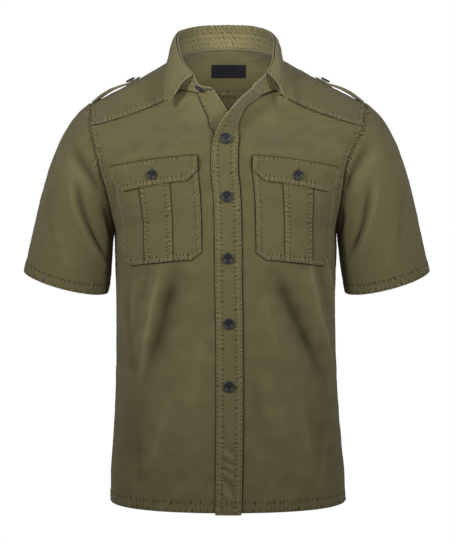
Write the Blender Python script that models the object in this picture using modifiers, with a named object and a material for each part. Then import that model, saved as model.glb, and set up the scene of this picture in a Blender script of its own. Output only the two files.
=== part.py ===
"""A short-sleeved utility shirt in washed twill, filled out and hollow, neck open.

Metres, +Z up. The front faces -Y. The origin is inside the neck, level with the high shoulder points.
A side is -1 for the shirt's side at -X and +1 for the side at +X.
"""

from collections import namedtuple
import math

import bpy
from mathutils import Vector
import numpy as np

COLLECTION = "Shirt"

# Cloth and seams
CLOTH = 0.0014
COLLAR_CLOTH = 0.0018
GAP = 0.0004
SEAM = 0.0003
YOKE_SEAM = 0.0006
STAND_SEAM = 0.0008
ARMHOLE_SEAM = 0.0009
UNDERARM_SPACE = 0.0014

# Body lengths
HEM_Z = -0.699
HEM_BAND = 0.016
UNDERARM_H = -0.245
NECK_H = -0.035
V_BOTTOM_H = -0.112
CLOSED_H = -0.142

# Front closing
PLACKET_WIDTH = 0.039
PLACKET_CLOTH = 0.0016
PLACKET_DROP = 0.003
PLACKET_OVER = 0.001
BAND_EDGE = 0.0155
BAND_SEAM = 0.0185

# Pockets, along the cloth from the centre front
POCKET_INNER = {-1: 0.041, 1: 0.044}
POCKET_WIDTH = 0.138
POCKET_TOP_H = -0.156
POCKET_BOTTOM_H = -0.306
POCKET_CORNER = 0.015
POCKET_CLOTH = 0.0013
PLEAT_WIDTH = 0.046
PLEAT_RISE = 0.0017
FLAP_TOP_H = -0.148
FLAP_DEPTH = 0.036
FLAP_CORNER = 0.018
FLAP_CLOTH = 0.0015
FLAP_SHARES = (0.0, 0.2, 0.35, 0.65, 1.0)

# Shoulder straps
STRAP_LENGTH = 0.088
STRAP_POINT = 0.016
STRAP_RISE = 0.0048
STRAP_CLOTH = 0.0018
STRAP_LIFT = 0.0028
STRAP_ROOT = 0.985
STRAP_LINES = 0.4
STRAP_TIP_WIDTH = 0.10
STRAP_ARCH = 0.75
STRAP_SHARES = (0.0, 0.1, 0.22, 0.36, 0.5, 0.64, 0.76, 0.86, 0.93, 1.0)
STRAP_WIDTHS = (-1.0, -0.5, 0.0, 0.5, 1.0)

# Sleeve ends
SLEEVE_HEM_RADIUS = 0.0680
SLEEVE_HEM_TILT = math.radians(14.8)
SLEEVE_HEM_DROP = math.radians(8.0)
SLEEVE_HEM_OUT = 0.2570
SLEEVE_HEM_Z = -0.3470

# Buttons
BUTTON_RADIUS = 0.0085
SMALL_BUTTON_RADIUS = 0.0077
BUTTON_HEIGHT = 0.0030
BUTTON_RIM = 0.0016
BUTTON_DISH = 0.0007
BUTTON_SIDES = 14
BUTTON_GAP = 0.0007
BUTTON_FOOT = 1.0
FRONT_BUTTONS = (-0.1245, -0.211, -0.3055, -0.406, -0.503)
FLAP_BUTTON_DROP = 0.021
STRAP_BUTTON_SHARE = 0.82
STRAP_BUTTON_HALF_WIDTH = 0.018
STAND_STATION_LENGTH = 0.034
STAND_FRONT_HEIGHT = 0.022
COLLAR_BUTTON_STATION = 0.60

# Collar steps along and across, and the roll of its fall
FALL_STATIONS = (1.0, 1.5, 2.0, 2.5, 3.0, 3.5, 4.0, 4.5, 5.0, 5.5, 6.0, 6.5, 7.0)
STAND_STATIONS = (0.0, 0.35, 0.7) + FALL_STATIONS
STAND_SHARES = (0.02, 0.35, 0.7, 1.0)
FALL_SHARES = (0.0, 0.12, 0.4, 0.7, 1.0)
COLLAR_STAND_OFF = 0.0025
COLLAR_SWELL = 0.0030
COLLAR_ROLL = 0.0040

# Neck label
LABEL_WIDTH = 0.057
LABEL_HEIGHT = 0.021
LABEL_CLOTH = 0.0010
LABEL_TOP_Z = 0.0034
LABEL_X = 0.001
LABEL_SPACE = 0.0008

# Mesh steps
ROW_POINTS = 65
POCKET_COLUMNS = (-0.012, 0.0, 0.014, 0.0285, 0.046, 0.049, 0.069, 0.089, 0.092, 0.108, 0.123, POCKET_WIDTH)
OUTER_FRACTIONS = (0.3, 0.65, 1.0)
CHEST_LENGTH = 0.215
COLUMN_CHANGE = 0.05
FRONT_ROWS = (
    HEM_Z, HEM_Z + HEM_BAND, -0.640, -0.595, -0.550, -0.505, -0.460, -0.420, -0.380, -0.345, -0.322,
    POCKET_BOTTOM_H, POCKET_BOTTOM_H + POCKET_CORNER, -0.268, UNDERARM_H, -0.220, -0.196, -0.176, POCKET_TOP_H,
    FLAP_TOP_H, -0.139, -0.130, -0.121, V_BOTTOM_H, -0.105, -0.098, -0.0915, -0.085, -0.072, -0.060, -0.048,
    NECK_H, -0.018, 0.0,
)
BACK_ROWS = (
    HEM_Z, HEM_Z + HEM_BAND, -0.640, -0.590, -0.540, -0.490, -0.440, -0.390, -0.345, -0.305, UNDERARM_H,
    -0.215, -0.180, -0.150, -0.122, -0.097, -0.075, -0.058, -0.047,
)
BACK_COLUMNS = (0.0, 0.01, 0.02, 0.03, 0.04, 0.05, 0.06, 0.07, 0.095, 0.125, 0.155, 0.185)
SLEEVE_AROUND = 30
SLEEVE_ALONG = (0.0, 0.05, 0.12, 0.22, 0.34, 0.47, 0.60, 0.73, 0.85, 0.94, 1.0)
YOKE_ACROSS = 8

# Sections of the front: start of each row at the centre front, and how the row leaves it
FrontRow = namedtuple("FrontRow", "h x y z slope_y slope_z strip on_z reach arm side_z turn hold")
FRONT_LOW = (
    FrontRow(-0.699, 0.0000, -0.1280, -0.6990, 0.00, 0.00, 0.0, 0.0, 0.118, 0.0, -0.699, 90, 0.080),
    FrontRow(-0.600, 0.0030, -0.1265, -0.6000, 0.00, 0.00, 0.0, 0.0, 0.114, 0.0, -0.603, 90, 0.080),
    FrontRow(-0.500, 0.0046, -0.1255, -0.5000, 0.00, 0.00, 0.0, 0.0, 0.110, 0.0, -0.508, 90, 0.080),
    FrontRow(-0.400, 0.0050, -0.1265, -0.4000, 0.00, 0.00, 0.0, 0.0, 0.108, 0.0, -0.414, 90, 0.080),
    FrontRow(-0.320, 0.0038, -0.1285, -0.3200, 0.00, 0.00, 0.0, 0.0, 0.108, 0.0, -0.338, 90, 0.080),
    FrontRow(-0.245, 0.0037, -0.1300, -0.2450, 0.00, 0.00, 0.0, 0.0, 0.110, 0.0, -0.268, 90, 0.080),
    FrontRow(-0.215, 0.0037, -0.1305, -0.2150, 0.00, 0.00, 0.0, 0.0, 0.110, 1.0, -0.243, 82, 0.055),
    FrontRow(-0.180, 0.0030, -0.1305, -0.1800, 0.00, 0.00, 0.0, 0.0, 0.105, 2.0, -0.203, 72, 0.040),
    FrontRow(-0.160, 0.0024, -0.1302, -0.1600, 0.00, 0.00, 0.0, 0.0, 0.102, 2.62, -0.181, 67, 0.0375),
    FrontRow(-0.148, 0.0020, -0.1300, -0.1480, 0.00, 0.00, 0.0, 0.0, 0.100, 3.0, -0.168, 64, 0.036),
)
FRONT_LEFT = FRONT_LOW + (
    FrontRow(-0.130, 0.0012, -0.1262, -0.1300, -0.05, 0.00, 0.008, -0.10, 0.090, 3.5, -0.152, 61, 0.036),
    FrontRow(-0.115, 0.0010, -0.1195, -0.1150, -0.40, 0.00, 0.019, -0.25, 0.072, 4.0, -0.136, 58, 0.036),
    FrontRow(-0.100, -0.0066, -0.1145, -0.1025, -0.12, 0.00, 0.019, -0.35, 0.065, 4.25, -0.127, 57, 0.036),
    FrontRow(-0.085, -0.0108, -0.1115, -0.0895, 0.20, -0.08, 0.019, -0.50, 0.060, 4.5, -0.118, 56, 0.036),
    FrontRow(-0.060, -0.0235, -0.1060, -0.0675, 0.65, -0.12, 0.019, -0.75, 0.050, 4.75, -0.110, 55, 0.036),
    FrontRow(-0.035, -0.0345, -0.0985, -0.0484, 1.00, -0.15, 0.019, -0.95, 0.045, 4.87, -0.105, 54, 0.036),
)
FRONT_RIGHT = FRONT_LOW + (
    FrontRow(-0.130, 0.0010, -0.1275, -0.1295, 0.12, -0.03, 0.008, -0.10, 0.090, 3.5, -0.152, 61, 0.036),
    FrontRow(-0.115, 0.0023, -0.1255, -0.1110, 0.68, -0.19, 0.019, -0.25, 0.072, 4.0, -0.136, 58, 0.036),
    FrontRow(-0.100, 0.0040, -0.1215, -0.1000, 1.20, -0.40, 0.019, -0.35, 0.065, 4.25, -0.127, 57, 0.036),
    FrontRow(-0.085, 0.0085, -0.1165, -0.0883, 2.00, -0.70, 0.019, -0.50, 0.060, 4.5, -0.118, 56, 0.036),
    FrontRow(-0.060, 0.0223, -0.1055, -0.0663, 3.60, -1.00, 0.019, -0.75, 0.050, 4.75, -0.110, 55, 0.036),
    FrontRow(-0.035, 0.0438, -0.0930, -0.0487, 3.00, -1.00, 0.019, -0.95, 0.040, 4.87, -0.105, 54, 0.036),
)
VALLEY_TURN = 0.15
TOP_ROW_START_SLOPE = (-0.05, -1.00)
TOP_ROW_REACH = 0.036
TOP_ROW_TURN = 42
TOP_ROW_RISE = -0.15
TOP_ROW_HOLD = 0.038

# Sections of the back, centre to side
BackRow = namedtuple("BackRow", "h y reach arm side_z turn hold")
BACK = (
    BackRow(-0.699, 0.1260, 0.118, 12.0, -0.699, 90, 0.080),
    BackRow(-0.600, 0.1230, 0.114, 12.0, -0.603, 90, 0.080),
    BackRow(-0.500, 0.1200, 0.112, 12.0, -0.508, 90, 0.078),
    BackRow(-0.400, 0.1190, 0.110, 12.0, -0.414, 90, 0.076),
    BackRow(-0.320, 0.1210, 0.110, 12.0, -0.338, 90, 0.076),
    BackRow(-0.245, 0.1250, 0.112, 12.0, -0.268, 90, 0.078),
    BackRow(-0.205, 0.1265, 0.112, 11.0, -0.243, 80, 0.052),
    BackRow(-0.160, 0.1260, 0.108, 10.0, -0.203, 68, 0.040),
    BackRow(-0.122, 0.1220, 0.104, 9.0, -0.168, 60, 0.038),
    BackRow(-0.085, 0.1155, 0.100, 8.0, -0.136, 56, 0.036),
    BackRow(-0.047, 0.1060, 0.095, 7.0, -0.096, 52, 0.036),
)

# Half width of the body and its sideways lean at each height
BodyWidth = namedtuple("BodyWidth", "z half_width")
BODY_WIDTHS = (
    BodyWidth(-0.699, 0.1880),
    BodyWidth(-0.650, 0.1865),
    BodyWidth(-0.603, 0.1825),
    BodyWidth(-0.522, 0.1772),
    BodyWidth(-0.429, 0.1744),
    BodyWidth(-0.378, 0.1742),
    BodyWidth(-0.317, 0.1758),
    BodyWidth(-0.268, 0.1765),
)
Lean = namedtuple("Lean", "z x")
LEANS = (
    Lean(-0.699, 0.0),
    Lean(-0.522, -0.0024),
    Lean(-0.378, -0.0038),
    Lean(-0.270, -0.0040),
    Lean(-0.203, -0.0060),
    Lean(-0.168, -0.0085),
    Lean(-0.139, -0.0070),
    Lean(-0.100, -0.0015),
    Lean(-0.060, 0.0),
    Lean(0.080, 0.0),
)

# The armhole, from the underarm up the front, over the shoulder and down the back
Arm = namedtuple("Arm", "out y z go_out go_y go_z reach")
ARMHOLE = (
    Arm(0.1765, 0.000, -0.2680, 0.12, 0.00, -1.00, 0.045),
    Arm(0.1770, -0.046, -0.2430, 0.36, -0.22, -0.90, 0.045),
    Arm(0.1830, -0.072, -0.2030, 0.58, -0.30, -0.76, 0.050),
    Arm(0.1900, -0.081, -0.1680, 0.70, -0.32, -0.64, 0.055),
    Arm(0.1985, -0.079, -0.1380, 0.78, -0.30, -0.55, 0.060),
    Arm(0.2120, -0.062, -0.1000, 0.84, -0.16, -0.52, 0.070),
    Arm(0.2176, 0.002, -0.0640, 0.84, 0.00, -0.54, 0.075),
    Arm(0.2120, 0.068, -0.0960, 0.84, 0.16, -0.52, 0.070),
    Arm(0.2060, 0.086, -0.1360, 0.80, 0.30, -0.55, 0.060),
    Arm(0.2000, 0.088, -0.1680, 0.72, 0.32, -0.64, 0.055),
    Arm(0.1900, 0.077, -0.2030, 0.58, 0.30, -0.76, 0.050),
    Arm(0.1790, 0.047, -0.2430, 0.36, 0.22, -0.90, 0.045),
    Arm(0.1765, 0.000, -0.2680, 0.12, 0.00, -1.00, 0.045),
)

# The collar: seam on the neck, fold line and outer edge of the fall, from one front end to the centre back
Collar = namedtuple("Collar", "station seam fold edge")
COLLAR_LEFT = (
    Collar(0.0, (0.0252, -0.1095, -0.0476), (0.0270, -0.1235, -0.0462), (0.0930, -0.1000, -0.0705)),
    Collar(0.5, (0.0372, -0.0974, -0.0485), (0.0450, -0.1120, -0.0415), (0.0930, -0.1000, -0.0705)),
    Collar(1.0, (0.0493, -0.0854, -0.0493), (0.0545, -0.0800, -0.0231), (0.0930, -0.1000, -0.0705)),
    Collar(2.0, (0.0750, -0.0730, -0.0450), (0.0700, -0.0610, -0.0010), (0.0962, -0.0890, -0.0510)),
    Collar(3.0, (0.0805, -0.0360, -0.0130), (0.0785, -0.0350, 0.0240), (0.0968, -0.0565, -0.0220)),
    Collar(4.0, (0.0785, -0.0050, 0.0060), (0.0800, -0.0030, 0.0430), (0.0915, -0.0060, 0.0050)),
    Collar(5.0, (0.0690, 0.0300, 0.0170), (0.0730, 0.0330, 0.0550), (0.0830, 0.0420, 0.0150)),
    Collar(6.0, (0.0400, 0.0570, 0.0255), (0.0450, 0.0600, 0.0635), (0.0540, 0.0740, 0.0190)),
    Collar(7.0, (0.0000, 0.0670, 0.0285), (0.0000, 0.0690, 0.0660), (0.0000, 0.0850, 0.0215)),
)
COLLAR_RIGHT = (
    Collar(0.0, (0.0380, -0.1100, -0.0430), (0.0475, -0.1050, -0.0340), (0.0925, -0.0990, -0.0685)),
    Collar(0.5, (0.0440, -0.0930, -0.0490), (0.0560, -0.0900, -0.0260), (0.0925, -0.0990, -0.0685)),
    Collar(1.0, (0.0500, -0.0760, -0.0540), (0.0606, -0.0740, -0.0190), (0.0925, -0.0990, -0.0685)),
    Collar(2.0, (0.0750, -0.0730, -0.0450), (0.0690, -0.0550, -0.0010), (0.0870, -0.0870, -0.0500)),
    Collar(3.0, (0.0795, -0.0360, -0.0130), (0.0725, -0.0330, 0.0210), (0.0850, -0.0560, -0.0200)),
    Collar(4.0, (0.0770, -0.0050, 0.0060), (0.0732, -0.0030, 0.0380), (0.0830, -0.0060, 0.0075)),
    Collar(5.0, (0.0680, 0.0300, 0.0170), (0.0650, 0.0330, 0.0535), (0.0770, 0.0420, 0.0160)),
    Collar(6.0, (0.0400, 0.0570, 0.0255), (0.0400, 0.0600, 0.0635), (0.0510, 0.0740, 0.0190)),
    Collar(7.0, (0.0000, 0.0670, 0.0285), (0.0000, 0.0690, 0.0660), (0.0000, 0.0850, 0.0215)),
)
NOTCH = 1
YOKE_CORNER = 2

# Lines of the yoke, neck to shoulder or back seam
YokeLine = namedtuple("YokeLine", "line neck arm back_share slope_out slope_y slope_z end_y end_z")
YOKE_LINES = (
    YokeLine(1, 3.1, 5.5, None, 0.92, -0.16, -0.46, 0.02, -0.60),
    YokeLine(2, 4.0, 6.0, None, 0.90, 0.00, -0.43, 0.00, -0.44),
    YokeLine(3, 4.6, 6.5, None, 0.85, 0.25, -0.40, 0.02, -0.55),
    YokeLine(4, 5.2, 7.0, 1.00, 0.70, 0.60, -0.45, 0.15, -0.75),
    YokeLine(5, 5.8, None, 0.72, 0.45, 0.75, -0.60, 0.30, -0.90),
    YokeLine(6, 6.4, None, 0.37, 0.15, 0.75, -0.70, 0.35, -0.95),
    YokeLine(7, 7.0, None, 0.00, 0.00, 0.70, -0.75, 0.30, -0.95),
)
YOKE_AROUND = (0.0, 0.35, 0.7, 1.0, 1.35, 1.6, 1.8, 2.0, 2.2, 2.4, 2.65, 3.0, 3.5, 4.0, 4.5, 5.0, 5.5, 6.0, 6.5, 7.0)
BACK_SHARE_LINES = (4.0, 5.0, 6.0, 7.0)

# Large folds of each panel: a ridge where the height is positive, a trough where it is negative
Fold = namedtuple("Fold", "s0 h0 s1 h1 height width")
FOLDS_LEFT = (
    Fold(0.115, -0.330, 0.150, -0.470, 0.0045, 0.016),
    Fold(0.080, -0.315, 0.125, -0.480, -0.0040, 0.018),
    Fold(0.205, -0.330, 0.175, -0.440, 0.0035, 0.016),
    Fold(0.050, -0.430, 0.085, -0.610, 0.0025, 0.022),
    Fold(0.150, -0.520, 0.185, -0.640, -0.0025, 0.024),
    Fold(0.195, -0.215, 0.165, -0.150, -0.0030, 0.014),
)
FOLDS_RIGHT = (
    Fold(0.125, -0.318, 0.168, -0.440, 0.0045, 0.015),
    Fold(0.075, -0.330, 0.150, -0.460, -0.0045, 0.018),
    Fold(0.175, -0.315, 0.200, -0.380, 0.0035, 0.014),
    Fold(0.040, -0.480, 0.090, -0.600, 0.0025, 0.022),
    Fold(0.150, -0.550, 0.175, -0.650, -0.0025, 0.024),
    Fold(0.190, -0.215, 0.160, -0.150, -0.0030, 0.014),
)
FOLDS_BACK = (
    Fold(-0.110, -0.200, -0.150, -0.420, 0.0040, 0.022),
    Fold(0.115, -0.210, 0.150, -0.400, 0.0040, 0.022),
    Fold(-0.060, -0.300, -0.075, -0.560, -0.0035, 0.026),
    Fold(0.070, -0.280, 0.060, -0.540, -0.0035, 0.026),
    Fold(-0.160, -0.480, -0.120, -0.640, 0.0025, 0.024),
    Fold(0.160, -0.500, 0.130, -0.640, 0.0025, 0.024),
)
GATHERS = 6
GATHER_SPREAD = 0.060
GATHER_HEIGHT = 0.0022
GATHER_LENGTH = 0.090

# Sleeve folds, around in armhole stations and along as a share of the length
SleeveFold = namedtuple("SleeveFold", "turn0 along0 turn1 along1 height width")
SLEEVE_FOLDS = (
    SleeveFold(2.2, 0.05, 4.2, 0.55, 0.0045, 0.34),
    SleeveFold(3.4, 0.04, 5.2, 0.50, -0.0045, 0.36),
    SleeveFold(1.0, 0.15, 3.3, 0.85, -0.0035, 0.34),
    SleeveFold(4.4, 0.10, 6.0, 0.75, 0.0035, 0.34),
    SleeveFold(9.8, 0.05, 7.8, 0.55, 0.0045, 0.36),
    SleeveFold(8.6, 0.06, 6.8, 0.50, -0.0040, 0.36),
    SleeveFold(11.0, 0.20, 8.8, 0.85, -0.0035, 0.36),
)

# Colours from the washed cloth, the buttons and the woven label
OLIVE = (0.150, 0.132, 0.062, 1.0)
CHARCOAL = (0.022, 0.024, 0.028, 1.0)
BLACK = (0.020, 0.019, 0.019, 1.0)


def ease(t):
    """Smooth step from 0 to 1."""
    t = min(max(t, 0.0), 1.0)
    return t * t * (3.0 - 2.0 * t)


def unit(v):
    return v / max(np.linalg.norm(v), 1e-12)


def through(stations, values, at):
    """Value at a place along a smooth curve through the values at the stations."""
    stations = np.asarray(stations, float)
    values = np.asarray(values, float)
    slopes = np.gradient(values, stations, axis=0)
    i = int(np.clip(np.searchsorted(stations, at) - 1, 0, len(stations) - 2))
    span = stations[i + 1] - stations[i]
    t = (at - stations[i]) / span
    start = (2 * t**3 - 3 * t**2 + 1) * values[i] + (t**3 - 2 * t**2 + t) * span * slopes[i]
    end = (3 * t**2 - 2 * t**3) * values[i + 1] + (t**3 - t**2) * span * slopes[i + 1]
    return start + end


def table_value(rows, key, field, at):
    """A table's column at a place between its rows."""
    return float(through([getattr(r, key) for r in rows], [getattr(r, field) for r in rows], at))


def bezier(p0, p1, p2, p3, count=ROW_POINTS):
    t = np.linspace(0.0, 1.0, count)[:, None]
    u = 1.0 - t
    return u**3 * p0 + 3 * u**2 * t * p1 + 3 * u * t**2 * p2 + t**3 * p3


def arc_lengths(line):
    steps = np.linalg.norm(np.diff(line, axis=0), axis=1)
    return np.concatenate([[0.0], np.cumsum(steps)])


def point_at(line, lengths, s):
    """The point at arc length s, going on straight past the ends."""
    if s < 0.0:
        return line[0] + unit(line[1] - line[0]) * s
    if s > lengths[-1]:
        return line[-1] + unit(line[-1] - line[-2]) * (s - lengths[-1])
    return np.array([np.interp(s, lengths, line[:, k]) for k in range(3)])


def half_width(z):
    return table_value(BODY_WIDTHS, "z", "half_width", max(z, HEM_Z))


def lean(z):
    return table_value(LEANS, "z", "x", min(max(z, HEM_Z), LEANS[-1].z))


def armhole_point(side, station):
    """A point of the armhole seam; station 0 is the underarm, 3 the front, 6 the shoulder, 9 the back."""
    places = [(a.out, a.y, a.z) for a in ARMHOLE]
    wrapped = [places[-2]] + places + [places[1]]
    out, y, z = through(range(-1, len(places) + 1), wrapped, station)
    return np.array([side * out + lean(z), y, z])


def side_end(side, arm, side_z, underarm):
    """The outer end of a body row: on the side seam below the underarm, on the armhole above it."""
    if abs(arm - underarm) < 1e-6:
        return np.array([side * half_width(side_z) + lean(side_z), 0.0, side_z])
    return armhole_point(side, arm)


def collar_rows(side):
    return COLLAR_LEFT if side < 0 else COLLAR_RIGHT


def collar_point(side, field, station):
    rows = collar_rows(side)
    out, y, z = through([c.station for c in rows], [getattr(c, field) for c in rows], station)
    return np.array([side * out, y, z])


def neck_seam_point(side, station):
    """The seam of the collar stand: along the front's top, up to the yoke and round the back."""
    if station >= YOKE_CORNER:
        return collar_point(side, "seam", station)
    end = BAND_EDGE if side < 0 else PLACKET_WIDTH / 2
    if station <= NOTCH:
        return front_base(side, -end + (end + BAND_SEAM) * station, NECK_H)
    start = front_base(side, BAND_SEAM, NECK_H)
    return start + (collar_point(side, "seam", YOKE_CORNER) - start) * (station - NOTCH)


ROW_CACHE = {}


def front_row(side, h):
    """One section of a front, from the centre front to the side, as a line and its arc lengths."""
    key = ("front", side, round(h, 6))
    if key in ROW_CACHE:
        return ROW_CACHE[key]
    rows = FRONT_LEFT if side < 0 else FRONT_RIGHT
    at = {f: table_value(rows, "h", f, h) for f in FrontRow._fields}
    if h <= UNDERARM_H:
        at["arm"] = 0.0
    start = np.array([at["x"] + lean(at["z"]), at["y"], at["z"]])
    end = side_end(side, max(at["arm"], 0.0), at["side_z"], 0.0)
    leave = unit(np.array([side * 1.0, at["slope_y"], at["slope_z"]]))
    turn = math.radians(at["turn"])
    arrive = np.array([side * math.cos(turn), math.sin(turn), 0.0])
    if at["strip"] > 0.001:
        seam = start + leave * at["strip"]
        on = unit(leave * VALLEY_TURN + unit(np.array([side, 0.0, at["on_z"]])))
        curve = bezier(seam, seam + on * at["reach"], end - arrive * at["hold"], end)
        line = np.concatenate([np.linspace(start, seam, 6)[:-1], curve])
    else:
        line = bezier(start, start + leave * at["reach"], end - arrive * at["hold"], end)
    ROW_CACHE[key] = (line, arc_lengths(line))
    return ROW_CACHE[key]


def yoke_front_seam(side):
    """The seam of front and yoke, from the neck to the armhole."""
    key = ("yoke_front", side)
    if key not in ROW_CACHE:
        start = collar_point(side, "seam", YOKE_CORNER)
        end = armhole_point(side, 5.0)
        leave = unit(np.array([side * 1.0, TOP_ROW_START_SLOPE[0], TOP_ROW_START_SLOPE[1]]))
        turn = math.radians(TOP_ROW_TURN)
        arrive = unit(np.array([side * math.cos(turn), math.sin(turn), TOP_ROW_RISE]))
        line = bezier(start, start + leave * TOP_ROW_REACH, end - arrive * TOP_ROW_HOLD, end)
        ROW_CACHE[key] = (line, arc_lengths(line))
    return ROW_CACHE[key]


def folds_lift(folds, s, h):
    """How far the folds lift the cloth at a place of a panel."""
    lift = 0.0
    for f in folds:
        run = np.array([f.s1 - f.s0, f.h1 - f.h0])
        place = np.array([s - f.s0, h - f.h0])
        share = float(np.dot(place, run) / np.dot(run, run))
        near = min(max(share, 0.0), 1.0)
        away = np.linalg.norm(place - near * run)
        taper = ease(2.5 * near + 0.25) * ease(2.5 * (1.0 - near) + 0.1)
        lift += f.height * taper * math.exp(-((away / f.width) ** 2))
    return lift


def front_base(side, s, h):
    """A point of the front before folds; s runs from the centre front, negative past it."""
    if h > NECK_H:
        low, low_lengths = front_row(side, NECK_H)
        top, top_lengths = yoke_front_seam(side)
        share = (s - BAND_SEAM) / (low_lengths[-1] - BAND_SEAM)
        rise = (h - NECK_H) / -NECK_H
        a = point_at(low, low_lengths, s)
        b = point_at(top, top_lengths, share * top_lengths[-1])
        return a + (b - a) * rise
    line, lengths = front_row(side, h)
    p = point_at(line, lengths, s)
    if s < 0.0 and h < V_BOTTOM_H:
        other = point_at(*front_row(-side, h), -s)
        p = other + (p - other) * ease((h - CLOSED_H) / (V_BOTTOM_H - CLOSED_H))
    return p


def front_length(side, h):
    if h > NECK_H:
        return front_row(side, NECK_H)[1][-1]
    return front_row(side, h)[1][-1]


def moved_out(base, a, b, da, db, lift):
    """The base surface's point at (a, b) moved along its normal."""
    p = base(a, b)
    if abs(lift) < 1e-9:
        return p
    along = base(a + da, b) - base(a - da, b)
    up_to = base(a, b + db) if b + db <= 0.0 else p
    up = up_to - base(a, b - db)
    return p + unit(np.cross(along, up)) * lift


def front_point(side, s, h, lift=0.0):
    """A point of a front with its folds, moved out by lift."""
    folds = FOLDS_LEFT if side < 0 else FOLDS_RIGHT
    raised = lift + (folds_lift(folds, s, h) if s > 0.0 else 0.0)
    return moved_out(lambda a, b: front_base(side, a, b), s, h, side * 0.002, 0.002, raised)


def back_row(side, h):
    """One section of the back, from the centre back to the side."""
    key = ("back", side, round(h, 6))
    if key in ROW_CACHE:
        return ROW_CACHE[key]
    at = {f: table_value(BACK, "h", f, h) for f in BackRow._fields}
    if h <= UNDERARM_H:
        at["arm"] = 12.0
    start = np.array([lean(h), at["y"], h])
    end = side_end(side, min(at["arm"], 12.0), at["side_z"], 12.0)
    turn = math.radians(at["turn"])
    arrive = np.array([side * math.cos(turn), -math.sin(turn), 0.0])
    leave = np.array([side * 1.0, 0.0, 0.0])
    line = bezier(start, start + leave * at["reach"], end - arrive * at["hold"], end)
    ROW_CACHE[key] = (line, arc_lengths(line))
    return ROW_CACHE[key]


def back_base(s, h):
    side = -1 if s < 0.0 else 1
    return point_at(*back_row(side, h), abs(s))


def gather_lift(s, h):
    """Small waves where the back is gathered into the yoke."""
    top = BACK[-1].h
    across = abs(s) / GATHER_SPREAD
    if across >= 1.0:
        return 0.0
    fade = ease(1.0 - (top - h) / GATHER_LENGTH) * ease(2.0 * (1.0 - across))
    return GATHER_HEIGHT * fade * math.cos(math.pi * GATHERS * s / GATHER_SPREAD)


def back_point(s, h, lift=0.0):
    top = BACK[-1].h
    raised = lift + folds_lift(FOLDS_BACK, s, h) + gather_lift(s, h) * ease((top - h) / 0.01)
    p = back_base(s, h)
    along = back_base(s + 0.002, h) - back_base(s - 0.002, h)
    up = back_base(s, min(h + 0.002, top)) - back_base(s, h - 0.002)
    return p + unit(np.cross(up, along)) * raised


def yoke_line(side, line):
    """One line of the yoke from the neck seam outwards, as a curve."""
    key = ("yoke", side, round(line, 6))
    if key in ROW_CACHE:
        return ROW_CACHE[key]
    if line <= 0.0:
        return yoke_front_seam(side)
    controls = []
    seam, lengths = yoke_front_seam(side)
    third = lengths[-1] / 3.0
    controls.append((
        seam[0], seam[0] + unit(seam[1] - seam[0]) * third, seam[-1] - unit(seam[-1] - seam[-2]) * third, seam[-1],
    ))
    back_seam = back_row(side, BACK[-1].h)
    for row in YOKE_LINES:
        start = collar_point(side, "seam", row.neck)
        if row.arm is not None:
            end = armhole_point(side, row.arm)
        else:
            end = point_at(*back_seam, row.back_share * back_seam[1][-1])
        third = np.linalg.norm(end - start) / 3.0
        leave = unit(np.array([side * row.slope_out, row.slope_y, row.slope_z]))
        arrive = unit(np.array([side * row.slope_out, row.end_y, row.end_z]))
        controls.append((start, start + leave * third, end - arrive * third, end))
    places = through(range(len(controls)), np.array(controls), line)
    if 4.0 < line < 7.0:
        share = through(BACK_SHARE_LINES, [r.back_share for r in YOKE_LINES[3:]], line)
        places[3] = point_at(*back_seam, share * back_seam[1][-1])
    if line < 4.0:
        neck = [YOKE_CORNER] + [r.neck for r in YOKE_LINES[:4]]
        arm = [5.0] + [r.arm for r in YOKE_LINES[:4]]
        places[0] = collar_point(side, "seam", through(range(5), neck, line))
        places[3] = armhole_point(side, through(range(5), arm, line))
    curve = bezier(*places)
    if line < 1.0:
        curve = seam + (curve - seam) * ease(line)
    ROW_CACHE[key] = (curve, arc_lengths(curve))
    return ROW_CACHE[key]


def yoke_base(side, line, share):
    curve, lengths = yoke_line(side, line)
    return point_at(curve, lengths, share * lengths[-1])


def yoke_point(side, line, share, lift=0.0):
    p = yoke_base(side, line, share)
    if lift == 0.0:
        return p
    out = yoke_base(side, line, share + 0.01) - yoke_base(side, line, share - 0.01)
    round_neck = yoke_base(side, line + 0.04, share) - yoke_base(side, line - 0.04, share)
    return p + side * unit(np.cross(out, round_neck)) * lift


def sleeve_hem_point(side, station):
    """A point of the sleeve's hem ring; station 0 is the inner side, 3 the front, 6 the outer side."""
    angle = math.pi * station / 6.0
    outward = np.array([side * math.cos(SLEEVE_HEM_TILT), 0.0, math.sin(SLEEVE_HEM_TILT)])
    forward = np.array([0.0, -math.cos(SLEEVE_HEM_DROP), -math.sin(SLEEVE_HEM_DROP)])
    centre = np.array([side * SLEEVE_HEM_OUT - 0.0022, 0.0, SLEEVE_HEM_Z])
    return centre + SLEEVE_HEM_RADIUS * (-math.cos(angle) * outward + math.sin(angle) * forward)


def sleeve_line(side, station):
    """One line of the sleeve, armhole to hem."""
    key = ("sleeve", side, round(station % 12.0, 6))
    if key in ROW_CACHE:
        return ROW_CACHE[key]
    station = station % 12.0
    low = 0.5 + 0.5 * math.cos(math.pi * station / 6.0)
    start = armhole_point(side, station)
    start[0] += side * (ARMHOLE_SEAM + UNDERARM_SPACE * low**4)
    end = sleeve_hem_point(side, station)
    fields = ("go_out", "go_y", "go_z", "reach")
    values = [[getattr(a, f) for f in fields] for a in ARMHOLE]
    go = through(range(-1, 14), [values[-2]] + values + [values[1]], station)
    leave = unit(np.array([side * go[0], go[1], go[2]]))
    axis = unit(np.array([
        side * math.sin(SLEEVE_HEM_TILT), math.sin(SLEEVE_HEM_DROP), -math.cos(SLEEVE_HEM_TILT),
    ]))
    distance = np.linalg.norm(end - start)
    line = bezier(start, start + leave * go[3], end - axis * distance * 0.36, end)
    ROW_CACHE[key] = (line, arc_lengths(line))
    return ROW_CACHE[key]


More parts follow.
